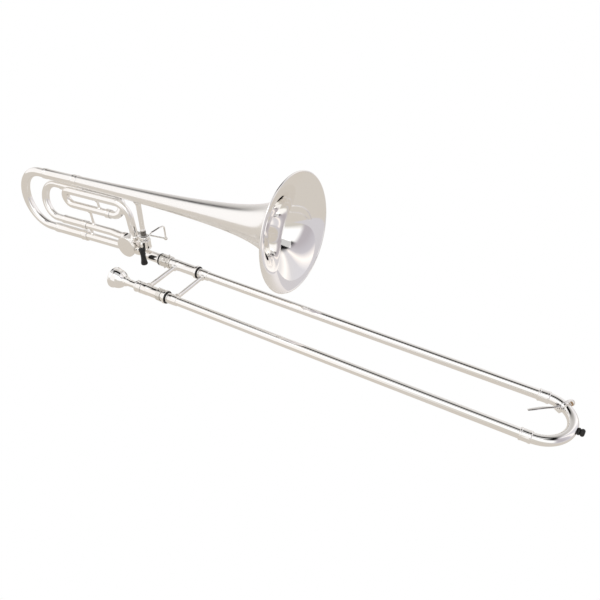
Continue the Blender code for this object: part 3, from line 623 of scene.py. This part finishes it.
def makeOuterSlide():
    look = slideTube
    joint = look["bowJoint"]
    for title, ending, at in slideSides:
        turned("outerTube" + title,
               [(joint, look["outer"]), (0.0745, look["outer"]), (0.0741, 0.0087), (0.0735, 0.0091),
                (0.0560, 0.0095), (0.0555, 0.0092), (0.0546, 0.0088), (0.0536, 0.0088),
                (0.0532, 0.0092), (look["outerStart"], 0.0090)],
               [(joint, look["outerBore"]), (look["outerStart"], look["outerBore"])],
               slideSilver, "outer_slide", ["outer_tube" + ending], at, sides=56)
        turned("bowFerrule" + title,
               [(0.7030, 0.0087), (0.7020, 0.0094), (0.6994, 0.0095), (0.6986, 0.0090),
                (0.6890, 0.0090), (0.6882, 0.0095), (0.6866, 0.0096), (0.6855, 0.0087)],
               [(0.7030, 0.0082), (0.6855, 0.0082)],
               slideSilver, "outer_slide", ["bow_ferrule" + ending], at, rounding=0.0005)
    braceBetween("outerBrace", outerBrace, "outer_slide", "outer_brace")
    start, half = joint + 0.0003, look["half"]
    route = [Vector((start, half, 0.0))]
    for step in range(look["bowSteps"] + 1):
        angle = rightAngle * (1.0 - 2.0 * step / look["bowSteps"])
        route.append(Vector((look["bowCentre"] + half * math.cos(angle), half * math.sin(angle), 0.0)))
    route.append(Vector((start, -half, 0.0)))
    tube("bowTube", route, look["outer"], look["wall"], slideSilver, "outer_slide", ["bow"])
    apex = look["bowCentre"] + half + look["outer"]
    turned("bumperSocket",
           [(apex + 0.0030, 0.0040), (apex + 0.0026, 0.0052), (apex + 0.0010, 0.0055),
            (apex - 0.0004, 0.0053)],
           [], blackPart, "outer_slide", ["bumper_socket"], rounding=0.0006)
    turned("bowBumper",
           [(apex + 0.0096, 0.0026), (apex + 0.0094, 0.0036), (apex + 0.0088, 0.0046),
            (apex + 0.0078, 0.0054), (apex + 0.0066, 0.0058), (apex + 0.0054, 0.0057),
            (apex + 0.0042, 0.0050), (apex + 0.0028, 0.0040)],
           [], blackPart, "outer_slide", ["bow_bumper"], rounding=0.0008)


waterKey = {"lane": -0.0018, "hub": 0.0034, "eye": 0.0012, "edge": 0.0006, "padPlace": -0.0006,
            "corkPlace": -0.0003, "turns": 2.5, "wire": 0.00030, "coil": 0.0021, "coilStart": 0.0006,
            "coilLength": 0.0024, "coilSteps": 24}


def makeWaterKey():
    look, pivot = waterKey, Matrix.Translation((keyPivot[0], 0.0, keyPivot[1]))
    turned("drainNipple", [(0.0118, 0.0027), (0.0112, 0.0031), (0.0096, 0.0034)],
           [(0.0118, 0.0016), (0.0096, 0.0016)],
           nickel, "outer_slide", ["drain_nipple"], keyFrame, sides=40)
    shape = bmesh.new()
    for low, high in (((-0.0140, -0.0052, -0.0030), (-0.0078, 0.0052, 0.0024)),
                      ((-0.0138, -0.0052, 0.0010), (-0.0092, -0.0036, 0.0086)),
                      ((-0.0138, 0.0036, 0.0010), (-0.0092, 0.0052, 0.0086))):
        block(shape, low, high, look["edge"])
    finished("keySaddle", shape, slideSilver, "outer_slide", ["water_key_saddle"], keyFrame)
    turned("keyPin",
           [(0.0065, 0.0013), (0.0062, 0.0017), (0.0055, 0.0017), (0.0054, 0.0009), (-0.0061, 0.0009)],
           [], steel, "outer_slide", ["water_key_pin"], keyFrame @ pivot @ crosswise, sides=32)
    lane, eye = look["lane"], look["eye"]
    # the lever's route, then its half width and half height at each point
    arm = (((-0.0585, 0.0130, 0.0092), (0.0020, 0.0007)), ((-0.0480, 0.0101, 0.0090), (0.0026, 0.0009)),
           ((-0.0360, 0.0065, 0.0087), (0.0025, 0.0010)), ((-0.0200, 0.0, 0.0084), (0.0018, 0.0013)),
           ((-0.0114, lane, 0.0090), (0.0014, 0.0013)), ((-0.0080, lane, 0.0108), (0.0015, 0.0012)),
           ((-0.0050, lane, 0.0118), (0.0016, 0.0012)), ((0.0050, lane, 0.0118), (0.0016, 0.0012)),
           ((0.0110, lane, 0.0100), (0.0016, 0.0011)), ((0.0150, lane, 0.0060), (0.0018, 0.0010)),
           ((0.0163, lane, 0.0026), (0.0022, 0.0008)), ((0.0165, lane, -0.0004), (0.0022, 0.0007)))
    shape = bmesh.new()
    route = throughCurve([Vector(point) for point, size in arm], 6)
    sizes = throughCurve([Vector((*size, 0.0)) for point, size in arm], 6)
    swept(shape, route, [size[:2] for size in sizes], across=(0.0, 1.0, 0.0), sides=28)
    hub = bmesh.new()
    spun(hub, [(0.0014, look["hub"]), (-0.0014, look["hub"])], [(0.0014, eye), (-0.0014, eye)], 40)
    merge(shape, hub, Matrix.Translation((0.0, lane, 0.0)) @ pivot @ crosswise)
    pad = bmesh.new()
    spun(pad, [(0.0156, 0.0034), (0.0152, 0.0038), (0.0142, 0.0038)], [], 40)
    merge(shape, pad, Matrix.Translation((0.0, look["padPlace"], 0.0)))
    finished("keyLever", shape, slideSilver, "water_key", ["water_key_lever"], keyFrame)
    turned("keyCork", [(0.0143, 0.0034), (0.0121, 0.0033)], [], corkPad, "water_key", ["water_key_cork"],
           keyFrame @ Matrix.Translation((0.0, look["corkPlace"], 0.0)), sides=40)
    shape = bmesh.new()
    steps, coil = int(look["turns"] * look["coilSteps"]), look["coil"]
    route = []
    for step in range(steps + 1):
        angle = 2.0 * math.pi * step / look["coilSteps"]
        along = look["coilStart"] + look["coilLength"] * step / steps
        route.append(Vector((coil * math.cos(angle), along, coil * math.sin(angle))))
    rod(shape, route, look["wire"], sides=12)
    finished("keySpring", shape, steel, "outer_slide", ["water_key_spring"], keyFrame @ pivot)


def block(shape, low, high, rounding):
    # a box between two corners, with its edges rounded
    made = bmesh.ops.create_cube(shape, size=1.0)["verts"]
    bmesh.ops.scale(shape, vec=[high[i] - low[i] for i in range(3)], verts=made)
    bmesh.ops.translate(shape, vec=[(high[i] + low[i]) / 2.0 for i in range(3)], verts=made)
    edges = list(dict.fromkeys(edge for vert in made for edge in vert.link_edges))
    bmesh.ops.bevel(shape, geom=edges, offset=rounding, offset_type="OFFSET", segments=3, profile=0.5,
                    affect="EDGES", clamp_overlap=True, material=-1)


def merge(shape, other, at):
    # adds another bmesh to this one
    bmesh.ops.transform(other, matrix=at, verts=other.verts)
    mesh = bpy.data.meshes.new("merging")
    other.to_mesh(mesh)
    other.free()
    shape.from_mesh(mesh)
    bpy.data.meshes.remove(mesh)


def throughCurve(points, steps):
    # a smooth curve through the points
    made = []
    for index in range(len(points) - 1):
        p0, p1 = points[max(index - 1, 0)], points[index]
        p2, p3 = points[index + 1], points[min(index + 2, len(points) - 1)]
        for step in range(steps):
            t = step / steps
            made.append(0.5 * (p1 * 2.0 + (p2 - p0) * t + (p0 * 2.0 - p1 * 5.0 + p2 * 4.0 - p3) * t * t
                               + (p1 * 3.0 - p0 - p2 * 3.0 + p3) * t ** 3))
    return made + [points[-1].copy()]


makeInnerSlide()
makeLockNut()
makeMouthpiece()
makeSlideLock()
makeOuterSlide()
makeWaterKey()
print("slide made")


# bell section; its measures are in the bell's frame

bellShape = {"axis": 0.1290, "rimPlace": 0.2626, "rim": 0.1000, "flare": 0.0205, "power": 0.7,
             "wall": 0.0006, "tail": -0.240, "stations": 110, "crowding": 2.3, "sides": 192,
             "bead": 0.0016, "beadShift": 0.0004, "beadSides": 24}
loop = {"lowAxis": 0.0094, "bend": -0.3435, "sleeve": -0.324, "legFront": -0.262, "upper": 0.0090,
        "lower": 0.0085, "goose": 0.0082, "gooseRear": -0.2450, "wall": 0.0006}


def bellRadius(x):
    back = bellShape["rimPlace"] - x
    return bellShape["rim"] * ((back + bellShape["flare"]) / bellShape["flare"]) ** -bellShape["power"]


def makeBell():
    look = bellShape
    outer, inner = [], []
    for index in range(look["stations"]):
        share = index / (look["stations"] - 1)
        x = look["rimPlace"] - (look["rimPlace"] - look["tail"]) * share ** look["crowding"]
        radius = bellRadius(x)
        slope = look["power"] * radius / (look["rimPlace"] - x + look["flare"])
        lean = math.hypot(1.0, slope)
        outer.append((x, radius))
        inner.append((x + look["wall"] * slope / lean, radius - look["wall"] / lean))
    at = bellFrame @ Matrix.Translation((0.0, 0.0, look["axis"]))
    flare = turned("bellFlare", outer, inner, flareSilver, "bell_section", ["bell"], at,
                   sides=look["sides"], rounding=0.0001)
    # marks the inner face, which has the brighter polish
    inside = flare.data.attributes.new("inside", "FLOAT", "POINT")
    for vert in flare.data.vertices:
        inside.data[vert.index].value = float(vert.normal.dot(bellAlong) > 0.0)
    centre, middle = look["rimPlace"] - look["beadShift"], look["rim"] + look["beadShift"]
    shape, count = bmesh.new(), look["beadSides"]
    ring = []
    for step in range(count):
        angle = 2.0 * math.pi * step / count
        ring.append(shape.verts.new((centre + look["bead"] * math.cos(angle),
                                     middle + look["bead"] * math.sin(angle), 0.0)))
    edges = [shape.edges.new((ring[step], ring[(step + 1) % count])) for step in range(count)]
    bmesh.ops.spin(shape, geom=ring + edges, cent=(0.0, 0.0, 0.0), axis=(1.0, 0.0, 0.0),
                   angle=2.0 * math.pi, steps=look["sides"], use_merge=True)
    finished("bellRimBead", shape, bellSilver, "bell_section", ["bell_rim"], at)


def makeTuningSlide():
    bend = (bellShape["axis"] - loop["lowAxis"]) / 2.0
    back = loop["bend"] - bend
    route = rounded([(loop["legFront"], 0.0, bellShape["axis"]), (back, 0.0, bellShape["axis"]),
                     (back, 0.0, loop["lowAxis"]), (loop["legFront"], 0.0, loop["lowAxis"])], bend, 26)

    def taper(point):
        share = (point.z - loop["lowAxis"]) / (bellShape["axis"] - loop["lowAxis"])
        return loop["lower"] + (loop["upper"] - loop["lower"]) * share

    tube("tuningSlideBow", route, loop["upper"], loop["wall"], bellSilver, "tuning_slide",
         ["tuning_slide"], bellFrame, sides=52, taper=taper)
    rear, tail = loop["sleeve"], bellShape["tail"]
    for title, ending, z, radius, end, mate in (
            ("Upper", "_upper", bellShape["axis"], loop["upper"], tail, bellRadius(tail)),
            ("Lower", "_lower", loop["lowAxis"], loop["lower"], loop["gooseRear"], loop["goose"])):
        at = bellFrame @ Matrix.Translation((0.0, 0.0, z))
        bore, skin = radius + 0.0003, radius + 0.0011
        band = max(mate, skin) + 0.0012
        turned("tuningSleeve" + title,
               [(end + 0.0080, mate + 0.0006), (end + 0.0074, mate + 0.0012), (end + 0.0068, band - 0.0004),
                (end + 0.0050, band), (end + 0.0040, band - 0.0006), (end - 0.0040, band - 0.0006),
                (end - 0.0050, band), (end - 0.0064, band - 0.0003), (end - 0.0072, skin),
                (rear + 0.0050, skin), (rear + 0.0044, skin + 0.0005), (rear + 0.0006, skin + 0.0005),
                (rear, skin)],
               [(end + 0.0080, mate + 0.0001), (end, mate + 0.0001), (end - 0.0004, bore), (rear, bore)],
               bellSilver, "bell_section", ["tuning_sleeve" + ending], at)
        turned("tuningFerrule" + title,
               [(rear - 0.0003, skin - 0.0002), (rear - 0.0012, skin + 0.0007),
                (rear - 0.0024, skin + 0.0002), (rear - 0.0036, skin + 0.0005),
                (rear - 0.0050, skin + 0.0003), (rear - 0.0060, skin - 0.0004)],
               [(rear - 0.0003, bore - 0.0002), (rear - 0.0060, bore - 0.0002)],
               bellSilver, "tuning_slide", ["tuning_ferrule" + ending], at, rounding=0.0005)


fTubing = {"radius": 0.0075, "wall": 0.0006, "low": (0.0, 0.0340), "high": (0.0108, 0.1050),
           "loopHigh": (-0.0066, 0.1070), "loopLow": (-0.0030, 0.0760), "crook": -0.3155,
           "sleeve": -0.300, "sleeveEnd": -0.240, "legFront": -0.252, "loopRear": -0.274,
           "loopFront": -0.132, "join": -0.1900, "drop": -0.1065, "dropBend": 0.0280, "dropEnd": 0.0165}
valve = {"casing": 0.0195, "lip": 0.0204, "bore": 0.0186, "half": 0.0150, "port": 0.0110, "pin": 0.0097,
         "pinRadius": 0.0014, "stopReach": 0.0135, "stopTurn": 82.0}
diagonal = math.radians(45.0)
pinLean = valve["pin"] * math.sin(diagonal)        # the stop arm's pin stands out along a diagonal


def makeFTubing():
    look, radius, wall = fTubing, fTubing["radius"], fTubing["wall"]
    front, rear, near, far = (look[name] for name in ("sleeveEnd", "sleeve", "loopFront", "loopRear"))
    x, z = valvePlace[0], valvePlace[2]
    port = z + valve["port"]
    mouth = x - valve["casing"] * math.cos(math.asin(valve["port"] / valve["casing"]))
    tube("fLowerTube",
         rounded([(front, *look["low"]), (-0.165, *look["low"]), (-0.145, 0.0, port), (mouth, 0.0, port)],
                 0.040, 5),
         radius, wall, bellSilver, "bell_section", ["f_lower_tube"], bellFrame)
    low, high = Vector((0.0, *look["low"])), Vector((0.0, *look["high"]))
    bend = (high - low).length / 2.0
    back = look["crook"] - bend
    tube("fTuningSlideBow",
         rounded([(look["legFront"], *look["low"]), (back, *look["low"]), (back, *look["high"]),
                  (look["legFront"], *look["high"])], bend, 22),
         radius, wall, bellSilver, "f_tuning_slide", ["f_tuning_slide"], bellFrame)
    bore, skin = radius + 0.0003, radius + 0.0010
    for title, ending, place in (("Lower", "_lower", look["low"]), ("Upper", "_upper", look["high"])):
        turned("fSleeve" + title,
               [(front + 0.0070, radius + 0.0008), (front + 0.0062, skin + 0.0004),
                (front + 0.0050, skin + 0.0008), (front + 0.0038, skin + 0.0003),
                (front - 0.0026, skin + 0.0003), (front - 0.0036, skin + 0.0008),
                (front - 0.0050, skin), (rear + 0.0044, skin), (rear + 0.0036, skin + 0.0006),
                (rear + 0.0008, skin + 0.0006), (rear, skin)],
               [(front + 0.0070, bore), (rear, bore)],
               bellSilver, "bell_section", ["f_sleeve" + ending],
               bellFrame @ Matrix.Translation((0.0, *place)))
    ends, top = Vector((0.0, *look["loopLow"])), Vector((0.0, *look["loopHigh"]))
    tube("fUpperTube",
         rounded([(front, *look["high"]), (near, *look["high"]), (near, *look["loopLow"]),
                  (near - 0.0300, *look["loopLow"])], (high - ends).length / 2.0, 14),
         radius, wall, bellSilver, "bell_section", ["f_upper_tube"], bellFrame)
    join = (look["join"], *look["loopHigh"])
    route = rounded([(near - 0.0306, *look["loopLow"]), (far, *look["loopLow"]),
                     (far, *look["loopHigh"]), join], (top - ends).length / 2.0, 14)
    route = route[:-1] + rounded([join, (look["drop"], *look["loopHigh"]),
                                  (look["drop"], 0.0, z + look["dropEnd"])], look["dropBend"], 16)
    tube("fLoopTube", route, radius, wall, bellSilver, "bell_section", ["f_loop_tube"], bellFrame)
    start, skin, band = near - 0.0240, radius + 0.0008, radius + 0.0018
    turned("loopFerrule",
           [(start, skin), (start - 0.0008, radius + 0.0016), (start - 0.0026, band),
            (start - 0.0036, radius + 0.0012), (start - 0.0084, radius + 0.0012), (start - 0.0094, band),
            (start - 0.0112, radius + 0.0016), (start - 0.0120, skin)],
           [(start, radius + 0.0002), (start - 0.0120, radius + 0.0002)],
           bellSilver, "bell_section", ["loop_ferrule"],
           bellFrame @ Matrix.Translation((0.0, *look["loopLow"])))


stays = {"waist": 0.0022, "foot": 0.0038, "loopPlace": -0.185, "middlePlace": -0.215, "legPlace": -0.225}


def makeStays():
    radius, low, loopLow, loopHigh = (fTubing[name] for name in ("radius", "low", "loopLow", "loopHigh"))
    waist, foot, leg = stays["waist"], stays["foot"], (0.0, loop["lowAxis"])
    for name, node, x, bottom, top, lowReach in (
            ("stayLoop", "stay_loop", stays["loopPlace"], loopLow, loopHigh, radius),
            ("stayFToLoop", "stay_f_to_loop", stays["middlePlace"], low, loopLow, radius),
            ("stayLegToF", "stay_leg_to_f", stays["legPlace"], leg, low, loop["goose"])):
        start, end = Vector((x, *bottom)), Vector((x, *top))
        run = (end - start).normalized()
        length = (end - start).length - lowReach - radius
        half = [(0.0, foot + 0.0008), (0.0007, foot), (0.0013, foot - 0.0005), (0.0022, waist + 0.0003)]
        other = [(length - along, size) for along, size in reversed(half)]
        turn = Vector((1.0, 0.0, 0.0)).rotation_difference(run).to_matrix().to_4x4()
        turned(name, [*half, (length / 2.0, waist), *other], [], postSilver, "bell_section", [node],
               bellFrame @ Matrix.Translation(start + run * lowReach) @ turn, sides=32, rounding=0.0008)


def makeValve():
    look, half, lip, casing = valve, valve["half"], valve["lip"], valve["casing"]
    port, goose, fRadius = look["port"], loop["goose"], fTubing["radius"]
    x, z = valvePlace[0], valvePlace[2]
    at, unturn = bellFrame @ Matrix.Translation(valvePlace) @ crosswise, crosswise.inverted()
    shape = bmesh.new()
    spun(shape,
         [(half, 0.0199), (half - 0.0006, lip), (half - 0.0022, lip), (half - 0.0028, casing),
          (0.0028 - half, casing), (0.0022 - half, lip), (0.0006 - half, lip), (-half, 0.0199)],
         [(half, look["bore"]), (-half, look["bore"])], sides=96)
    # a knuckle at each port: how far along and up it stands, its tube's radius and the way it points
    forwards, backwards = Matrix(), Matrix.Rotation(2.0 * rightAngle, 4, "Z")
    for along, up, radius, way in ((0.0, -port, goose, backwards), (0.0, port, fRadius, backwards),
                                   (0.0, -port, goose, forwards),
                                   (fTubing["drop"] - x, 0.0, fRadius, upright)):
        ring = bmesh.new()
        start = math.sqrt(casing ** 2 - math.hypot(along, up) ** 2) - 0.0042
        spun(ring, [(start, radius + 0.0014), (start + 0.0066, radius + 0.0014),
                    (start + 0.0078, radius + 0.0008), (start + 0.0086, radius + 0.0004)],
             [(start, radius - 0.0002), (start + 0.0086, radius - 0.0002)], sides=44)
        merge(shape, ring, unturn @ Matrix.Translation((along, 0.0, up)) @ way)
    finished("valveCasing", shape, bellSilver, "bell_section", ["valve_casing"], at)
    shape = bmesh.new()
    spun(shape,
         [(-half - 0.0003, 0.0206), (-half - 0.0024, 0.0206), (-half - 0.0033, 0.0199),
          (-half - 0.0036, 0.0182), (-half - 0.0038, 0.0160), (-half - 0.0042, 0.0110),
          (-half - 0.0044, 0.0060), (-half - 0.0045, 0.0012)],
         [], sides=96)
    knurl(shape, -half - 0.0025, -half - 0.0006, 0.0203, 0.0002)
    finished("valveCap", shape, bellSilver, "bell_section", ["valve_cap"], at)
    turned("valveBackPlate",
           [(0.0178, 0.0188), (0.0172, 0.0202), (half + 0.0003, 0.0202)],
           [(0.0178, 0.0040), (half + 0.0003, 0.0040)],
           bellSilver, "bell_section", ["valve_back_plate"], at, sides=96)
    shape = bmesh.new()
    spun(shape, [(0.0232, 0.0058), (0.0228, 0.0062), (0.0186, 0.0062), (0.0182, 0.0058)],
         [(0.0232, 0.0038), (0.0182, 0.0038)], sides=48)
    bar = bmesh.new()
    block(bar, (-0.0030, 0.0208, 0.0050), (0.0030, 0.0232, 0.0125), 0.0007)
    merge(shape, bar, unturn @ Matrix.Rotation(-diagonal, 4, "Y"))
    pin = bmesh.new()
    rod(pin, [Vector((-pinLean, reach, pinLean)) for reach in (0.0222, 0.0250, 0.0280)], look["pinRadius"])
    merge(shape, pin, unturn)
    finished("stopArm", shape, nickel, "rotor", ["stop_arm"], at)
    turned("stopScrew", [(0.0258, 0.0026), (0.0254, 0.0038), (0.0248, 0.0042), (0.0236, 0.0042)], [],
           steel, "rotor", ["stop_screw"], at, sides=40)
    for title, ending, side in (("Rear", "_rear", -1.0), ("Front", "_front", 1.0)):
        angle = math.radians(look["stopTurn"]) * side
        place = (x + look["stopReach"] * math.sin(angle), 0.0, z + look["stopReach"] * math.cos(angle))
        turned("stopBumper" + title, [(0.0236, 0.0020), (0.0232, 0.0024), (0.0181, 0.0024)], [],
               blackPart, "bell_section", ["stop_bumper" + ending],
               bellFrame @ Matrix.Translation(place) @ crosswise, sides=32)


neck = {"radius": 0.0086, "wall": 0.0006, "bend": 0.012, "start": 0.024, "end": (-0.0790, -0.0762)}


def makeNeck():
    x, low = valvePlace[0], loop["lowAxis"]
    edge = math.sqrt(valve["casing"] ** 2 - valve["port"] ** 2)
    tube("gooseneckTube", [Vector((loop["gooseRear"], 0.0, low)), Vector((x - edge, 0.0, low))],
         loop["goose"], loop["wall"], bellSilver, "bell_section", ["gooseneck"], bellFrame)
    route = [bellFrame @ Vector((x + reach, 0.0, low)) for reach in (edge, neck["start"])]
    route += [Vector((end, slideTube["half"], 0.0)) for end in neck["end"]]
    tube("neckTube", rounded(route, neck["bend"], 4), neck["radius"], neck["wall"], bellSilver,
         "bell_section", ["neck_tube"])
    turned("slideReceiver",
           [(-0.0410, 0.0096), (-0.0416, 0.0102), (-0.0446, 0.0102), (-0.0454, 0.0096),
            (-0.0718, 0.0093), (-0.0726, 0.0099), (-0.0752, 0.0100), (-0.0758, 0.0093)],
           [(-0.0410, 0.0084), (-0.0758, 0.0076)],
           slideSilver, "bell_section", ["slide_receiver"], farSide)
    turned("receiverRing", [(-0.0383, 0.0114), (-0.0389, 0.0119), (-0.0401, 0.0119), (-0.0407, 0.0114)],
           [(-0.0383, 0.0084), (-0.0407, 0.0084)],
           blackPart, "bell_section", ["receiver_ring"], farSide, rounding=0.0006)


post = {"place": -0.082, "drum": 0.0120}
trigger = {"ball": (-0.0647, 0.040, 0.025), "ballRadius": 0.0035, "thumb": (-0.072, -0.020, 0.032),
           "length": 0.039, "strap": (0.0023, 0.0012), "strapBend": 0.0040, "rod": 0.0014,
           "eye": 0.0300}


def makeBellBrace():
    at = bellFrame @ Matrix.Translation((post["place"], 0.0, 0.0)) @ upright
    drum = post["drum"]
    turned("leverPost",
           [(0.0455, 0.0046), (0.0450, 0.0050), (0.0384, 0.0050), (0.0380, drum - 0.0012),
            (0.0374, drum - 0.0002), (0.0360, drum), (0.0352, drum - 0.0006), (0.0220, drum - 0.0006),
            (0.0212, drum), (0.0200, drum - 0.0002), (0.0190, drum - 0.0012)],
           [], postSilver, "bell_section", ["lever_post"], at)
    shape = bmesh.new()
    spun(shape, [(0.0556, 0.0044), (0.0551, 0.0051), (0.0522, 0.0051), (0.0518, 0.0046), (0.0508, 0.0046),
                 (0.0504, 0.0051), (0.0466, 0.0051), (0.0459, 0.0044)], [], sides=48)
    knurl(shape, 0.0526, 0.0549, 0.0049, 0.0003)
    knurl(shape, 0.0468, 0.0502, 0.0049, 0.0003)
    finished("braceNut", shape, steel, "bell_section", ["brace_nut"], at)
    top = bellShape["axis"] - bellRadius(post["place"]) + 0.0004
    turned("bellBrace",
           [(top, 0.0086), (top - 0.0012, 0.0078), (top - 0.0026, 0.0072), (top - 0.0040, 0.0060),
            (top - 0.0070, 0.0050), (0.0680, 0.0046), (0.0600, 0.0046), (0.0590, 0.0052), (0.0560, 0.0053)],
           [], postSilver, "bell_section", ["bell_brace"], at, rounding=0.0010)


def makeTrigger():
    at = bellFrame @ Matrix.Translation((post["place"], 0.0, 0.0))
    ball = Vector(trigger["ball"]) - Vector((post["place"], 0.0, 0.0))
    thumb = Vector(trigger["thumb"]) - Vector((post["place"], 0.0, 0.0))
    shape = bmesh.new()
    spun(shape, [(0.0450, 0.0092), (0.0445, 0.0098), (0.0391, 0.0098), (0.0386, 0.0092)],
         [(0.0450, 0.0057), (0.0386, 0.0057)], sides=56)
    bmesh.ops.transform(shape, matrix=upright, verts=shape.verts)
    route = rounded([(thumb.x, thumb.y, thumb.z - 0.0010), (thumb.x, thumb.y, 0.0400),
                     (0.0085, -0.0010, 0.0425), (0.0112, 0.0110, 0.0500), (0.0150, 0.0280, 0.0530),
                     (ball.x, ball.y, 0.0525), (ball.x, ball.y, ball.z + 0.0034)],
                    trigger["strapBend"], 8)
    swept(shape, route, [trigger["strap"]] * len(route), across=(1.0, 0.0, 0.0), sides=28)
    finished("triggerLever", shape, postSilver, "trigger", ["trigger_lever"], at)
    length = trigger["length"]
    turned("thumbPiece",
           [(-0.0012, 0.0040), (-0.0022, 0.0056), (-0.0044, 0.0063), (-0.0066, 0.0062), (-0.0095, 0.0055),
            (-0.0150, 0.0048), (-0.0220, 0.0048), (-0.0275, 0.0054), (-0.0318, 0.0063), (-0.0345, 0.0065),
            (0.0030 - length, 0.0058), (0.0020 - length, 0.0040)],
           [], blackPart, "trigger", ["thumb_piece"],
           at @ Matrix.Translation(thumb) @ upright, sides=48, rounding=0.0012)
    shape = bmesh.new()
    bmesh.ops.create_uvsphere(shape, u_segments=32, v_segments=20, radius=trigger["ballRadius"])
    bmesh.ops.translate(shape, vec=trigger["ball"], verts=shape.verts)
    start = Vector(trigger["ball"])
    eye = Vector((valvePlace[0] - pinLean, trigger["eye"], valvePlace[2] + pinLean))
    rod(shape, [start, (start + eye) / 2.0, eye], trigger["rod"])
    boss = bmesh.new()
    spun(boss, [(0.0015, 0.0027), (0.0012, 0.0030), (-0.0012, 0.0030), (-0.0015, 0.0027)], [], 36)
    merge(shape, boss, Matrix.Translation(eye) @ crosswise)
    finished("linkRod", shape, nickel, "link_rod", ["link_rod"], bellFrame)


makeBell()
makeTuningSlide()
makeFTubing()
makeStays()
makeValve()
makeNeck()
makeBellBrace()
makeTrigger()
print("bell section made")

rotor = frame["nodes"]["valve_rotor"]
rotor.data.materials.clear()
rotor.data.materials.append(brass)
shown = sorted(name for name, node in frame["nodes"].items() if not node.hide_render)
print("frame nodes still shown:", shown)
